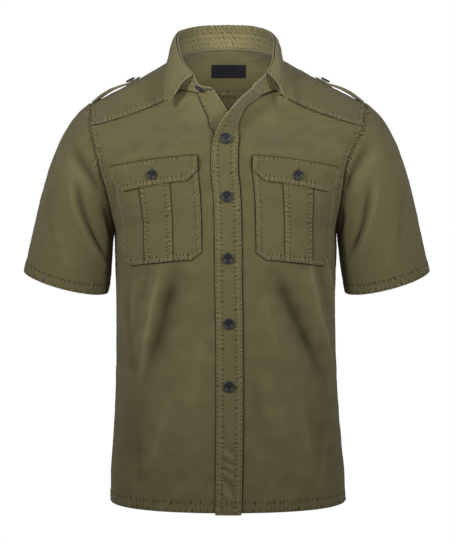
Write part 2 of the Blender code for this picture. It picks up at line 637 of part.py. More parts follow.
def sleeve_base(side, station, share):
    line, lengths = sleeve_line(side, station)
    return point_at(line, lengths, share * lengths[-1])


def sleeve_lift(station, share):
    lift = 0.0
    for f in SLEEVE_FOLDS:
        run = np.array([f.turn1 - f.turn0, (f.along1 - f.along0) * 5.0])
        place = np.array([station - f.turn0, (share - f.along0) * 5.0])
        near = min(max(float(np.dot(place, run) / np.dot(run, run)), 0.0), 1.0)
        away = np.linalg.norm(place - near * run)
        taper = ease(3.0 * near + 0.3) * ease(3.0 * (1.0 - near))
        lift += f.height * taper * math.exp(-((away / f.width) ** 2))
    return lift * ease(share / 0.08)


def sleeve_point(side, station, share, lift=0.0):
    p = sleeve_base(side, station, share)
    raised = lift + sleeve_lift(station % 12.0, share)
    along = sleeve_base(side, station, share + 0.01) - sleeve_base(side, station, share - 0.01)
    around = sleeve_base(side, station + 0.08, share) - sleeve_base(side, station - 0.08, share)
    return p + side * unit(np.cross(along, around)) * raised


def pulled_in(grid, edges, setback):
    """The grid with the named edges drawn back along the cloth."""
    grid = np.array(grid, float)
    pairs = {
        "first_row": (grid[0], grid[1]),
        "last_row": (grid[-1], grid[-2]),
        "first_column": (grid[:, 0], grid[:, 1]),
        "last_column": (grid[:, -1], grid[:, -2]),
    }
    for name in edges:
        edge, inner = pairs[name]
        step = inner - edge
        edge += step / np.maximum(np.linalg.norm(step, axis=1, keepdims=True), 1e-9) * setback
    return grid


def make_material(name, colour, roughness):
    material = bpy.data.materials.new(name)
    material.use_nodes = True
    shader = material.node_tree.nodes["Principled BSDF"]
    shader.inputs["Base Color"].default_value = colour
    shader.inputs["Roughness"].default_value = roughness
    material.diffuse_color = colour
    return material


def add_object(name, mesh, material):
    piece = bpy.data.objects.new(name, mesh)
    piece.data.materials.append(material)
    bpy.data.collections[COLLECTION].objects.link(piece)
    return piece


def sheet_object(name, grid, thickness, material, outward, closed=False):
    """A shell from an open grid of points, its thickness going inwards from the points."""
    grid = np.array(grid, float)
    rows, columns = grid.shape[:2]
    verts = [tuple(p) for p in grid.reshape(-1, 3)]
    faces = []
    for r in range(rows - 1):
        for c in range(columns if closed else columns - 1):
            d = (c + 1) % columns
            faces.append((r * columns + c, r * columns + d, (r + 1) * columns + d, (r + 1) * columns + c))
    if not outward:
        faces = [f[::-1] for f in faces]
    mesh = bpy.data.meshes.new(name)
    mesh.from_pydata(verts, [], faces)
    mesh.shade_smooth()
    piece = add_object(name, mesh, material)
    wall = piece.modifiers.new("Wall", "SOLIDIFY")
    wall.thickness = thickness
    wall.offset = -1.0
    wall.use_even_offset = True
    return piece


def pocket_columns(side):
    """Arc lengths of the grid lines that the pocket and its flap share with the front."""
    return [POCKET_INNER[side] + c for c in POCKET_COLUMNS]


def front_columns(side, h, start):
    """Arc lengths of a front's grid lines on one row: fixed below, a share of the row above the pocket."""
    length = front_length(side, h)
    fixed = pocket_columns(side)
    share = (length - BAND_SEAM) / (CHEST_LENGTH - BAND_SEAM)
    scaled = [BAND_SEAM + (s - BAND_SEAM) * share for s in fixed]
    mix = ease((h - FLAP_TOP_H) / COLUMN_CHANGE)
    inner = [a + (b - a) * mix for a, b in zip(fixed, scaled)]
    return [start] + inner + [inner[-1] + f * (length - inner[-1]) for f in OUTER_FRACTIONS]


def front_start(side, h):
    """Where a front begins: beside the band, or under the placket and, in the open neck, beside it."""
    if h >= NECK_H:
        return BAND_SEAM
    if side < 0:
        return BAND_SEAM + SEAM
    open_neck = ease((h - CLOSED_H) / (V_BOTTOM_H - CLOSED_H))
    lapped, beside = BAND_EDGE + SEAM, PLACKET_WIDTH / 2 + PLACKET_OVER + SEAM
    return lapped + (beside - lapped) * open_neck


def build_fronts(cloth):
    for side, name in ((-1, "front_left"), (1, "front_right")):
        grid = [[front_point(side, s, h) for s in front_columns(side, h, front_start(side, h))] for h in FRONT_ROWS]
        grid = pulled_in(grid, ("last_row", "last_column"), YOKE_SEAM)
        grid = pulled_in(grid, ("first_column",), SEAM)
        sheet_object(name, grid, CLOTH, cloth, outward=side > 0)


def build_back(cloth):
    grid = []
    for h in BACK_ROWS:
        length = back_row(1, h)[1][-1]
        last = BACK_COLUMNS[-1]
        half = list(BACK_COLUMNS) + [last + f * (length - last) for f in OUTER_FRACTIONS]
        grid.append([back_point(s, h) for s in [-s for s in half[:0:-1]] + half])
    grid = pulled_in(grid, ("last_row", "first_column", "last_column"), YOKE_SEAM)
    sheet_object("back", grid, CLOTH, cloth, outward=False)


def build_yoke(cloth):
    grid = []
    shares = [i / YOKE_ACROSS for i in range(YOKE_ACROSS + 1)]
    for line in YOKE_AROUND:
        grid.append([yoke_point(-1, line, t) for t in shares])
    for line in YOKE_AROUND[-2::-1]:
        grid.append([yoke_point(1, line, t) for t in shares])
    grid = pulled_in(grid, ("first_row", "last_row", "first_column", "last_column"), YOKE_SEAM)
    sheet_object("yoke", grid, CLOTH, cloth, outward=False)


def build_sleeves(cloth):
    for side, name in ((-1, "sleeve_left"), (1, "sleeve_right")):
        grid = []
        for share in SLEEVE_ALONG:
            stations = [12.0 * i / SLEEVE_AROUND for i in range(SLEEVE_AROUND)]
            grid.append([sleeve_point(side, q, share) for q in stations])
        sheet_object(name, grid, CLOTH, cloth, outward=side > 0, closed=True)


def strip_rows(low, high):
    return [low] + [h for h in FRONT_ROWS if low + 0.004 < h < high - 0.004] + [high]


def build_closing(cloth):
    """The band that carries the buttons, and the placket over it."""
    columns = (-BAND_EDGE, -BAND_EDGE / 2, 0.0, BAND_SEAM / 2, BAND_SEAM)
    rows = strip_rows(HEM_Z, NECK_H)
    band = [[front_point(-1, s, h) for s in columns] for h in rows]
    band = pulled_in(band, ("last_row",), SEAM)
    sheet_object("button_band", band, CLOTH, cloth, outward=False)
    half = PLACKET_WIDTH / 2
    columns = (-half, -half / 2, 0.0, half / 2, half + PLACKET_OVER)
    lift = GAP + PLACKET_CLOTH
    placket = [[front_point(1, s, h, lift) for s in columns] for h in rows]
    for p in placket[0]:
        p[2] -= PLACKET_DROP
    placket = pulled_in(placket, ("last_row",), SEAM)
    sheet_object("placket", placket, PLACKET_CLOTH, cloth, outward=True)


def pocket_lift(side, s):
    """The pocket's height off the front, with its box pleat raised."""
    middle = POCKET_INNER[side] + POCKET_WIDTH / 2
    inside = PLEAT_WIDTH / 2 - abs(s - middle)
    return GAP + POCKET_CLOTH + PLEAT_RISE * ease(inside / 0.003 + 0.5)


def pocket_grid(side):
    columns = pocket_columns(side)[1:]
    rows = [h for h in FRONT_ROWS if POCKET_BOTTOM_H - 1e-6 <= h <= POCKET_TOP_H + 1e-6]
    grid = [[front_point(side, s, h, pocket_lift(side, s)) for s in columns] for h in rows]
    grid = np.array(grid)
    for end, inner in ((0, 1), (-1, -2)):
        grid[0, end] = (grid[0, inner] + grid[1, end]) / 2
    return grid


def flap_grid(side):
    """The flap, its lower corners cut off, standing over the pocket's mouth."""
    columns = pocket_columns(side)[1:]
    grid = []
    for share in FLAP_SHARES:
        row = []
        for s in columns:
            corner = min(s - columns[0], columns[-1] - s) / FLAP_CORNER
            depth = FLAP_DEPTH * (0.55 + 0.45 * min(1.0, corner))
            lift = GAP + FLAP_CLOTH + (PLEAT_RISE + POCKET_CLOTH + 2 * GAP) * ease(share / FLAP_SHARES[1])
            row.append(front_point(side, s, FLAP_TOP_H - share * depth, lift))
        grid.append(row)
    return np.array(grid)


def build_pockets(cloth):
    for side, tag in ((-1, "left"), (1, "right")):
        pocket = pocket_grid(side)
        sheet_object("pocket_" + tag, pocket, POCKET_CLOTH, cloth, outward=side > 0)
        sheet_object("flap_" + tag, flap_grid(side), FLAP_CLOTH, cloth, outward=side < 0)


def strap_grid(side, shares, widths, lift):
    """A shoulder strap from the yoke's points, pointed towards the neck."""
    grid = []
    length = yoke_line(side, 2.0)[1][-1]
    tip = 1.0 - STRAP_LENGTH / length
    for share in shares:
        along = STRAP_ROOT - share * (STRAP_ROOT - tip)
        point = min(1.0, (1.0 - share) * STRAP_LENGTH / STRAP_POINT)
        row = []
        for w in widths:
            line = 2.0 + w * STRAP_LINES * (STRAP_TIP_WIDTH + (1.0 - STRAP_TIP_WIDTH) * point)
            rise = STRAP_RISE * math.sin(math.pi * min(share / STRAP_ARCH, 1.0)) * (1.0 - 0.3 * w * w)
            row.append(yoke_point(side, line, along, lift + rise))
        grid.append(row)
    return np.array(grid)


def build_straps(cloth):
    for side, tag in ((-1, "left"), (1, "right")):
        grid = strap_grid(side, STRAP_SHARES, STRAP_WIDTHS, STRAP_LIFT)
        sheet_object("epaulette_" + tag, grid, STRAP_CLOTH, cloth, outward=side > 0)


def collar_curve(place, stations):
    """Points of a collar line from one front end round the back to the other."""
    return np.array([place(-1, k) for k in stations] + [place(1, k) for k in stations[-2::-1]])


def fold_point(side, station):
    return collar_point(side, "fold", station)


def edge_point(side, station):
    return collar_point(side, "edge", station)


def build_collar(cloth):
    seam = collar_curve(neck_seam_point, STAND_STATIONS)
    fold = collar_curve(fold_point, STAND_STATIONS)
    grid = [seam + (fold - seam) * share for share in STAND_SHARES]
    stand = pulled_in(grid, ("first_row",), STAND_SEAM)
    sheet_object("collar_stand", stand, COLLAR_CLOTH, cloth, outward=False)
    fold = collar_curve(fold_point, FALL_STATIONS)
    edge = collar_curve(edge_point, FALL_STATIONS)
    grid = []
    for share in FALL_SHARES:
        row = fold + (edge - fold) * share
        swell = COLLAR_SWELL * math.sin(math.pi * share) + COLLAR_STAND_OFF
        away = row.copy()
        away[:, 2] = 0.0
        away[:, 1] -= 0.005
        away = away / np.linalg.norm(away, axis=1, keepdims=True)
        row = row + away * swell
        row[:, 2] += COLLAR_ROLL * math.sin(math.pi * min(share * 1.6, 1.0))
        grid.append(row)
    sheet_object("collar_fall", np.array(grid), COLLAR_CLOTH, cloth, outward=True)


def button_object(name, radius, place, normal, material):
    """A turned button with a raised rim, its flat back at the place."""
    profile = [
        (radius, BUTTON_HEIGHT),
        (radius, 0.0),
        (0.0, 0.0),
    ]
    rim = radius - BUTTON_RIM
    outline = [(0.0, BUTTON_HEIGHT - BUTTON_DISH), (rim, BUTTON_HEIGHT - BUTTON_DISH)] + profile
    mesh = bpy.data.meshes.new(name)
    mesh.from_pydata([(r, 0.0, z) for r, z in outline], [(i, i + 1) for i in range(len(outline) - 1)], [])
    piece = add_object(name, mesh, material)
    turn = piece.modifiers.new("Turn", "SCREW")
    turn.steps = BUTTON_SIDES
    turn.render_steps = BUTTON_SIDES
    turn.use_merge_vertices = True
    turn.merge_threshold = 0.00005
    piece.location = place
    piece.rotation_mode = "QUATERNION"
    piece.rotation_quaternion = Vector(normal).to_track_quat("Z", "Y")
    return piece


def button_on(name, radius, surface, towards, material):
    """A button that rests on the highest places of its footprint on a surface of two lengths."""
    reach = BUTTON_FOOT * radius
    angles = [math.pi * k / 4 for k in range(8)]
    around = [surface(reach * math.cos(t), reach * math.sin(t)) for t in angles]
    middle = surface(0.0, 0.0)
    normal = unit(np.cross(around[0] - around[4], around[2] - around[6]))
    normal = normal * np.sign(np.dot(normal, towards))
    top = max(np.dot(p - middle, normal) for p in around + [middle])
    button_object(name, radius, middle + normal * (top + BUTTON_GAP), normal, material)


def build_buttons(horn):
    forward = np.array([0.0, -1.0, 0.0])
    upward = np.array([0.0, 0.0, 1.0])
    lift = GAP + PLACKET_CLOTH
    for i, h in enumerate(FRONT_BUTTONS, start=1):
        button_on(
            "button_front_%d" % i, BUTTON_RADIUS, lambda a, b: front_point(1, a, h + b, lift), forward, horn
        )
    height = FLAP_TOP_H - FLAP_BUTTON_DROP
    top = GAP + FLAP_CLOTH + PLEAT_RISE + POCKET_CLOTH + 2 * GAP
    half = STRAP_BUTTON_HALF_WIDTH
    for side, tag in ((-1, "left"), (1, "right")):
        middle = POCKET_INNER[side] + POCKET_WIDTH / 2
        button_on(
            "button_pocket_" + tag, SMALL_BUTTON_RADIUS,
            lambda a, b: front_point(side, middle + a, height + b, top), forward, horn,
        )
        button_on(
            "button_epaulette_" + tag, SMALL_BUTTON_RADIUS,
            lambda a, b: strap_grid(side, [STRAP_BUTTON_SHARE + a / STRAP_LENGTH], [b / half], STRAP_LIFT)[0, 0],
            upward, horn,
        )
    button_on("button_collar", SMALL_BUTTON_RADIUS, stand_outside, forward, horn)


def stand_outside(along, up):
    """A point of the stand's outer face near its button, on the side of the button band."""
    station = COLLAR_BUTTON_STATION + along / STAND_STATION_LENGTH
    seam = neck_seam_point(-1, station)
    fold = fold_point(-1, station)
    return seam + (fold - seam) * (0.5 + up / STAND_FRONT_HEIGHT)


def yoke_inside(x, z, lift):
    """The point of the yoke's centre back at a sideways place and height, moved in by lift."""
    side = -1 if x < 0.0 else 1
    place = np.array([6.7, 0.4])
    for _ in range(8):
        here = yoke_point(side, *place)[[0, 2]]
        step = 0.01
        by_line = (yoke_point(side, place[0] - step, place[1])[[0, 2]] - here) / -step
        by_share = (yoke_point(side, place[0], place[1] + step)[[0, 2]] - here) / step
        place = place + np.linalg.solve(np.array([by_line, by_share]).T, np.array([x, z]) - here)
        place[0] = min(max(place[0], 5.0), 7.0 - 1e-3)
    return yoke_point(side, place[0], place[1], -lift)


def build_label(woven):
    grid = []
    for i in range(4):
        z = LABEL_TOP_Z - LABEL_HEIGHT * i / 3
        row = []
        for k in range(7):
            x = LABEL_X + LABEL_WIDTH * (k / 6 - 0.5)
            row.append(yoke_inside(x if abs(x) > 0.001 else 0.001, z, CLOTH + LABEL_SPACE))
        grid.append(row)
    sheet_object("neck_label", grid, LABEL_CLOTH, woven, outward=True)


def main():
    for old in list(bpy.data.objects):
        bpy.data.objects.remove(old, do_unlink=True)
    bpy.context.scene.collection.children.link(bpy.data.collections.new(COLLECTION))
    cloth = make_material("olive_twill", OLIVE, 0.92)
    build_fronts(cloth)
    build_back(cloth)
    build_yoke(cloth)
    build_sleeves(cloth)
    build_closing(cloth)
    build_pockets(cloth)
    build_straps(cloth)
    build_collar(cloth)
    build_buttons(make_material("charcoal_horn", CHARCOAL, 0.35))
    build_label(make_material("woven_label", BLACK, 0.85))


main()
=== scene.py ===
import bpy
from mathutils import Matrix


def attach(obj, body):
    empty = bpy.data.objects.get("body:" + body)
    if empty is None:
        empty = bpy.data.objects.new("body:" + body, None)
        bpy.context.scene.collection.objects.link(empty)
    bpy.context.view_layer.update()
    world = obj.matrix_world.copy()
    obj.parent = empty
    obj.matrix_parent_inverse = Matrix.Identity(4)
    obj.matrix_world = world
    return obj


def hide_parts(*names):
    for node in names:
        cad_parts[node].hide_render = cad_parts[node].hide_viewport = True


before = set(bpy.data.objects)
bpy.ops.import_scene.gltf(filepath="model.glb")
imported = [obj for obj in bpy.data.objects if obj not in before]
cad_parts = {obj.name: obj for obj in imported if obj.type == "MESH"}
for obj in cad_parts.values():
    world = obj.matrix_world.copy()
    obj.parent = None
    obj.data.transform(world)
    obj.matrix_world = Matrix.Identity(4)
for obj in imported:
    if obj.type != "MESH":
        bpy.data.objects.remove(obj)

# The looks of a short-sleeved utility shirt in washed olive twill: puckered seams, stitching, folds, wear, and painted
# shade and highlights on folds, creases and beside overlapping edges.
"""The looks of a short-sleeved utility shirt in washed olive twill: puckered seams, stitching, folds and wear.

Metres, +Z up. The front faces -Y. A side is -1 for the shirt's side at -X and +1 for the side at +X.
Every cloth piece is a thin shell on the form of its solid, worked out from the same sizes and tables.
"""

from collections import namedtuple
import math

import bpy
from mathutils import Vector
import numpy as np

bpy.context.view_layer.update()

# Cloth and seams
CLOTH = 0.0014
COLLAR_CLOTH = 0.0018
GAP = 0.0004
SEAM = 0.0003
YOKE_SEAM = 0.0006
STAND_SEAM = 0.0008
ARMHOLE_SEAM = 0.0009
UNDERARM_SPACE = 0.0014

# Body lengths
HEM_Z = -0.699
HEM_BAND = 0.016
UNDERARM_H = -0.245
NECK_H = -0.035
V_BOTTOM_H = -0.112
CLOSED_H = -0.142

# Front closing
PLACKET_WIDTH = 0.039
PLACKET_CLOTH = 0.0016
PLACKET_DROP = 0.003
PLACKET_OVER = 0.001
BAND_EDGE = 0.0155
BAND_SEAM = 0.0185

# Pockets, along the cloth from the centre front
POCKET_INNER = {-1: 0.041, 1: 0.044}
POCKET_WIDTH = 0.138
POCKET_TOP_H = -0.156
POCKET_BOTTOM_H = -0.306
POCKET_CORNER = 0.015
POCKET_CLOTH = 0.0013
PLEAT_WIDTH = 0.046
PLEAT_RISE = 0.0017
FLAP_TOP_H = -0.148
FLAP_DEPTH = 0.036
FLAP_CORNER = 0.018
FLAP_CLOTH = 0.0015
FLAP_SHARES = (0.0, 0.2, 0.35, 0.65, 1.0)

# Shoulder straps
STRAP_LENGTH = 0.088
STRAP_POINT = 0.016
STRAP_RISE = 0.0048
STRAP_CLOTH = 0.0018
STRAP_LIFT = 0.0028
STRAP_ROOT = 0.985
STRAP_LINES = 0.4
STRAP_TIP_WIDTH = 0.10
STRAP_ARCH = 0.75
STRAP_SHARES = (0.0, 0.1, 0.22, 0.36, 0.5, 0.64, 0.76, 0.86, 0.93, 1.0)
STRAP_WIDTHS = (-1.0, -0.5, 0.0, 0.5, 1.0)

# Sleeve ends
SLEEVE_HEM_RADIUS = 0.0680
SLEEVE_HEM_TILT = math.radians(14.8)
SLEEVE_HEM_DROP = math.radians(8.0)
SLEEVE_HEM_OUT = 0.2570
SLEEVE_HEM_Z = -0.3470

# Buttons
BUTTON_RADIUS = 0.0085
SMALL_BUTTON_RADIUS = 0.0077
BUTTON_HEIGHT = 0.0030
BUTTON_RIM = 0.0016
BUTTON_DISH = 0.0007
BUTTON_SIDES = 14
BUTTON_GAP = 0.0007
BUTTON_FOOT = 1.0
FRONT_BUTTONS = (-0.1245, -0.211, -0.3055, -0.406, -0.503)
FLAP_BUTTON_DROP = 0.021
STRAP_BUTTON_SHARE = 0.82
STRAP_BUTTON_HALF_WIDTH = 0.018
STAND_STATION_LENGTH = 0.034
STAND_FRONT_HEIGHT = 0.022
COLLAR_BUTTON_STATION = 0.60

# Collar steps along and across, and the roll of its fall
FALL_STATIONS = (1.0, 1.5, 2.0, 2.5, 3.0, 3.5, 4.0, 4.5, 5.0, 5.5, 6.0, 6.5, 7.0)
STAND_STATIONS = (0.0, 0.35, 0.7) + FALL_STATIONS
STAND_SHARES = (0.02, 0.35, 0.7, 1.0)
FALL_SHARES = (0.0, 0.12, 0.4, 0.7, 1.0)
COLLAR_STAND_OFF = 0.0025
COLLAR_SWELL = 0.0030
COLLAR_ROLL = 0.0040

# Neck label
LABEL_WIDTH = 0.057
LABEL_HEIGHT = 0.021
LABEL_CLOTH = 0.0010
LABEL_TOP_Z = 0.0034
LABEL_X = 0.001
LABEL_SPACE = 0.0008

# Mesh steps
ROW_POINTS = 65
POCKET_COLUMNS = (-0.012, 0.0, 0.014, 0.0285, 0.046, 0.049, 0.069, 0.089, 0.092, 0.108, 0.123, POCKET_WIDTH)
OUTER_FRACTIONS = (0.3, 0.65, 1.0)
CHEST_LENGTH = 0.215
COLUMN_CHANGE = 0.05
FRONT_ROWS = (
    HEM_Z, HEM_Z + HEM_BAND, -0.640, -0.595, -0.550, -0.505, -0.460, -0.420, -0.380, -0.345, -0.322,
    POCKET_BOTTOM_H, POCKET_BOTTOM_H + POCKET_CORNER, -0.268, UNDERARM_H, -0.220, -0.196, -0.176, POCKET_TOP_H,
    FLAP_TOP_H, -0.139, -0.130, -0.121, V_BOTTOM_H, -0.105, -0.098, -0.0915, -0.085, -0.072, -0.060, -0.048,
    NECK_H, -0.018, 0.0,
)
BACK_ROWS = (
    HEM_Z, HEM_Z + HEM_BAND, -0.640, -0.590, -0.540, -0.490, -0.440, -0.390, -0.345, -0.305, UNDERARM_H,
    -0.215, -0.180, -0.150, -0.122, -0.097, -0.075, -0.058, -0.047,
)
BACK_COLUMNS = (0.0, 0.01, 0.02, 0.03, 0.04, 0.05, 0.06, 0.07, 0.095, 0.125, 0.155, 0.185)
SLEEVE_AROUND = 30
SLEEVE_ALONG = (0.0, 0.05, 0.12, 0.22, 0.34, 0.47, 0.60, 0.73, 0.85, 0.94, 1.0)
YOKE_ACROSS = 8

# Sections of the front: start of each row at the centre front, and how the row leaves it
FrontRow = namedtuple("FrontRow", "h x y z slope_y slope_z strip on_z reach arm side_z turn hold")
FRONT_LOW = (
    FrontRow(-0.699, 0.0000, -0.1280, -0.6990, 0.00, 0.00, 0.0, 0.0, 0.118, 0.0, -0.699, 90, 0.080),
    FrontRow(-0.600, 0.0030, -0.1265, -0.6000, 0.00, 0.00, 0.0, 0.0, 0.114, 0.0, -0.603, 90, 0.080),
    FrontRow(-0.500, 0.0046, -0.1255, -0.5000, 0.00, 0.00, 0.0, 0.0, 0.110, 0.0, -0.508, 90, 0.080),
    FrontRow(-0.400, 0.0050, -0.1265, -0.4000, 0.00, 0.00, 0.0, 0.0, 0.108, 0.0, -0.414, 90, 0.080),
    FrontRow(-0.320, 0.0038, -0.1285, -0.3200, 0.00, 0.00, 0.0, 0.0, 0.108, 0.0, -0.338, 90, 0.080),
    FrontRow(-0.245, 0.0037, -0.1300, -0.2450, 0.00, 0.00, 0.0, 0.0, 0.110, 0.0, -0.268, 90, 0.080),
    FrontRow(-0.215, 0.0037, -0.1305, -0.2150, 0.00, 0.00, 0.0, 0.0, 0.110, 1.0, -0.243, 82, 0.055),
    FrontRow(-0.180, 0.0030, -0.1305, -0.1800, 0.00, 0.00, 0.0, 0.0, 0.105, 2.0, -0.203, 72, 0.040),
    FrontRow(-0.160, 0.0024, -0.1302, -0.1600, 0.00, 0.00, 0.0, 0.0, 0.102, 2.62, -0.181, 67, 0.0375),
    FrontRow(-0.148, 0.0020, -0.1300, -0.1480, 0.00, 0.00, 0.0, 0.0, 0.100, 3.0, -0.168, 64, 0.036),
)
FRONT_LEFT = FRONT_LOW + (
    FrontRow(-0.130, 0.0012, -0.1262, -0.1300, -0.05, 0.00, 0.008, -0.10, 0.090, 3.5, -0.152, 61, 0.036),
    FrontRow(-0.115, 0.0010, -0.1195, -0.1150, -0.40, 0.00, 0.019, -0.25, 0.072, 4.0, -0.136, 58, 0.036),
    FrontRow(-0.100, -0.0066, -0.1145, -0.1025, -0.12, 0.00, 0.019, -0.35, 0.065, 4.25, -0.127, 57, 0.036),
    FrontRow(-0.085, -0.0108, -0.1115, -0.0895, 0.20, -0.08, 0.019, -0.50, 0.060, 4.5, -0.118, 56, 0.036),
    FrontRow(-0.060, -0.0235, -0.1060, -0.0675, 0.65, -0.12, 0.019, -0.75, 0.050, 4.75, -0.110, 55, 0.036),
    FrontRow(-0.035, -0.0345, -0.0985, -0.0484, 1.00, -0.15, 0.019, -0.95, 0.045, 4.87, -0.105, 54, 0.036),
)
FRONT_RIGHT = FRONT_LOW + (
    FrontRow(-0.130, 0.0010, -0.1275, -0.1295, 0.12, -0.03, 0.008, -0.10, 0.090, 3.5, -0.152, 61, 0.036),
    FrontRow(-0.115, 0.0023, -0.1255, -0.1110, 0.68, -0.19, 0.019, -0.25, 0.072, 4.0, -0.136, 58, 0.036),
    FrontRow(-0.100, 0.0040, -0.1215, -0.1000, 1.20, -0.40, 0.019, -0.35, 0.065, 4.25, -0.127, 57, 0.036),
    FrontRow(-0.085, 0.0085, -0.1165, -0.0883, 2.00, -0.70, 0.019, -0.50, 0.060, 4.5, -0.118, 56, 0.036),
    FrontRow(-0.060, 0.0223, -0.1055, -0.0663, 3.60, -1.00, 0.019, -0.75, 0.050, 4.75, -0.110, 55, 0.036),
    FrontRow(-0.035, 0.0438, -0.0930, -0.0487, 3.00, -1.00, 0.019, -0.95, 0.040, 4.87, -0.105, 54, 0.036),
)
VALLEY_TURN = 0.15
TOP_ROW_START_SLOPE = (-0.05, -1.00)
TOP_ROW_REACH = 0.036
TOP_ROW_TURN = 42
TOP_ROW_RISE = -0.15
TOP_ROW_HOLD = 0.038

# Sections of the back, centre to side
BackRow = namedtuple("BackRow", "h y reach arm side_z turn hold")
BACK = (
    BackRow(-0.699, 0.1260, 0.118, 12.0, -0.699, 90, 0.080),
    BackRow(-0.600, 0.1230, 0.114, 12.0, -0.603, 90, 0.080),
    BackRow(-0.500, 0.1200, 0.112, 12.0, -0.508, 90, 0.078),
    BackRow(-0.400, 0.1190, 0.110, 12.0, -0.414, 90, 0.076),
    BackRow(-0.320, 0.1210, 0.110, 12.0, -0.338, 90, 0.076),
    BackRow(-0.245, 0.1250, 0.112, 12.0, -0.268, 90, 0.078),
    BackRow(-0.205, 0.1265, 0.112, 11.0, -0.243, 80, 0.052),
    BackRow(-0.160, 0.1260, 0.108, 10.0, -0.203, 68, 0.040),
    BackRow(-0.122, 0.1220, 0.104, 9.0, -0.168, 60, 0.038),
    BackRow(-0.085, 0.1155, 0.100, 8.0, -0.136, 56, 0.036),
    BackRow(-0.047, 0.1060, 0.095, 7.0, -0.096, 52, 0.036),
)

# Half width of the body and its sideways lean at each height
BodyWidth = namedtuple("BodyWidth", "z half_width")
BODY_WIDTHS = (
    BodyWidth(-0.699, 0.1880),
    BodyWidth(-0.650, 0.1865),
    BodyWidth(-0.603, 0.1825),
    BodyWidth(-0.522, 0.1772),
    BodyWidth(-0.429, 0.1744),
    BodyWidth(-0.378, 0.1742),
    BodyWidth(-0.317, 0.1758),
    BodyWidth(-0.268, 0.1765),
)
Lean = namedtuple("Lean", "z x")
LEANS = (
    Lean(-0.699, 0.0),
    Lean(-0.522, -0.0024),
    Lean(-0.378, -0.0038),
    Lean(-0.270, -0.0040),
    Lean(-0.203, -0.0060),
    Lean(-0.168, -0.0085),
    Lean(-0.139, -0.0070),
    Lean(-0.100, -0.0015),
    Lean(-0.060, 0.0),
    Lean(0.080, 0.0),
)

# The armhole, from the underarm up the front, over the shoulder and down the back
Arm = namedtuple("Arm", "out y z go_out go_y go_z reach")
ARMHOLE = (
    Arm(0.1765, 0.000, -0.2680, 0.12, 0.00, -1.00, 0.045),
    Arm(0.1770, -0.046, -0.2430, 0.36, -0.22, -0.90, 0.045),
    Arm(0.1830, -0.072, -0.2030, 0.58, -0.30, -0.76, 0.050),
    Arm(0.1900, -0.081, -0.1680, 0.70, -0.32, -0.64, 0.055),
    Arm(0.1985, -0.079, -0.1380, 0.78, -0.30, -0.55, 0.060),
    Arm(0.2120, -0.062, -0.1000, 0.84, -0.16, -0.52, 0.070),
    Arm(0.2176, 0.002, -0.0640, 0.84, 0.00, -0.54, 0.075),
    Arm(0.2120, 0.068, -0.0960, 0.84, 0.16, -0.52, 0.070),
    Arm(0.2060, 0.086, -0.1360, 0.80, 0.30, -0.55, 0.060),
    Arm(0.2000, 0.088, -0.1680, 0.72, 0.32, -0.64, 0.055),
    Arm(0.1900, 0.077, -0.2030, 0.58, 0.30, -0.76, 0.050),
    Arm(0.1790, 0.047, -0.2430, 0.36, 0.22, -0.90, 0.045),
    Arm(0.1765, 0.000, -0.2680, 0.12, 0.00, -1.00, 0.045),
)

# The collar: seam on the neck, fold line and outer edge of the fall, from one front end to the centre back
Collar = namedtuple("Collar", "station seam fold edge")
COLLAR_LEFT = (
    Collar(0.0, (0.0252, -0.1095, -0.0476), (0.0270, -0.1235, -0.0462), (0.0930, -0.1000, -0.0705)),
    Collar(0.5, (0.0372, -0.0974, -0.0485), (0.0450, -0.1120, -0.0415), (0.0930, -0.1000, -0.0705)),
    Collar(1.0, (0.0493, -0.0854, -0.0493), (0.0545, -0.0800, -0.0231), (0.0930, -0.1000, -0.0705)),
    Collar(2.0, (0.0750, -0.0730, -0.0450), (0.0700, -0.0610, -0.0010), (0.0962, -0.0890, -0.0510)),
    Collar(3.0, (0.0805, -0.0360, -0.0130), (0.0785, -0.0350, 0.0240), (0.0968, -0.0565, -0.0220)),
    Collar(4.0, (0.0785, -0.0050, 0.0060), (0.0800, -0.0030, 0.0430), (0.0915, -0.0060, 0.0050)),
    Collar(5.0, (0.0690, 0.0300, 0.0170), (0.0730, 0.0330, 0.0550), (0.0830, 0.0420, 0.0150)),
    Collar(6.0, (0.0400, 0.0570, 0.0255), (0.0450, 0.0600, 0.0635), (0.0540, 0.0740, 0.0190)),
    Collar(7.0, (0.0000, 0.0670, 0.0285), (0.0000, 0.0690, 0.0660), (0.0000, 0.0850, 0.0215)),
)
COLLAR_RIGHT = (
    Collar(0.0, (0.0380, -0.1100, -0.0430), (0.0475, -0.1050, -0.0340), (0.0925, -0.0990, -0.0685)),
    Collar(0.5, (0.0440, -0.0930, -0.0490), (0.0560, -0.0900, -0.0260), (0.0925, -0.0990, -0.0685)),
    Collar(1.0, (0.0500, -0.0760, -0.0540), (0.0606, -0.0740, -0.0190), (0.0925, -0.0990, -0.0685)),
    Collar(2.0, (0.0750, -0.0730, -0.0450), (0.0690, -0.0550, -0.0010), (0.0870, -0.0870, -0.0500)),
    Collar(3.0, (0.0795, -0.0360, -0.0130), (0.0725, -0.0330, 0.0210), (0.0850, -0.0560, -0.0200)),
    Collar(4.0, (0.0770, -0.0050, 0.0060), (0.0732, -0.0030, 0.0380), (0.0830, -0.0060, 0.0075)),
    Collar(5.0, (0.0680, 0.0300, 0.0170), (0.0650, 0.0330, 0.0535), (0.0770, 0.0420, 0.0160)),
    Collar(6.0, (0.0400, 0.0570, 0.0255), (0.0400, 0.0600, 0.0635), (0.0510, 0.0740, 0.0190)),
    Collar(7.0, (0.0000, 0.0670, 0.0285), (0.0000, 0.0690, 0.0660), (0.0000, 0.0850, 0.0215)),
)
NOTCH = 1
YOKE_CORNER = 2

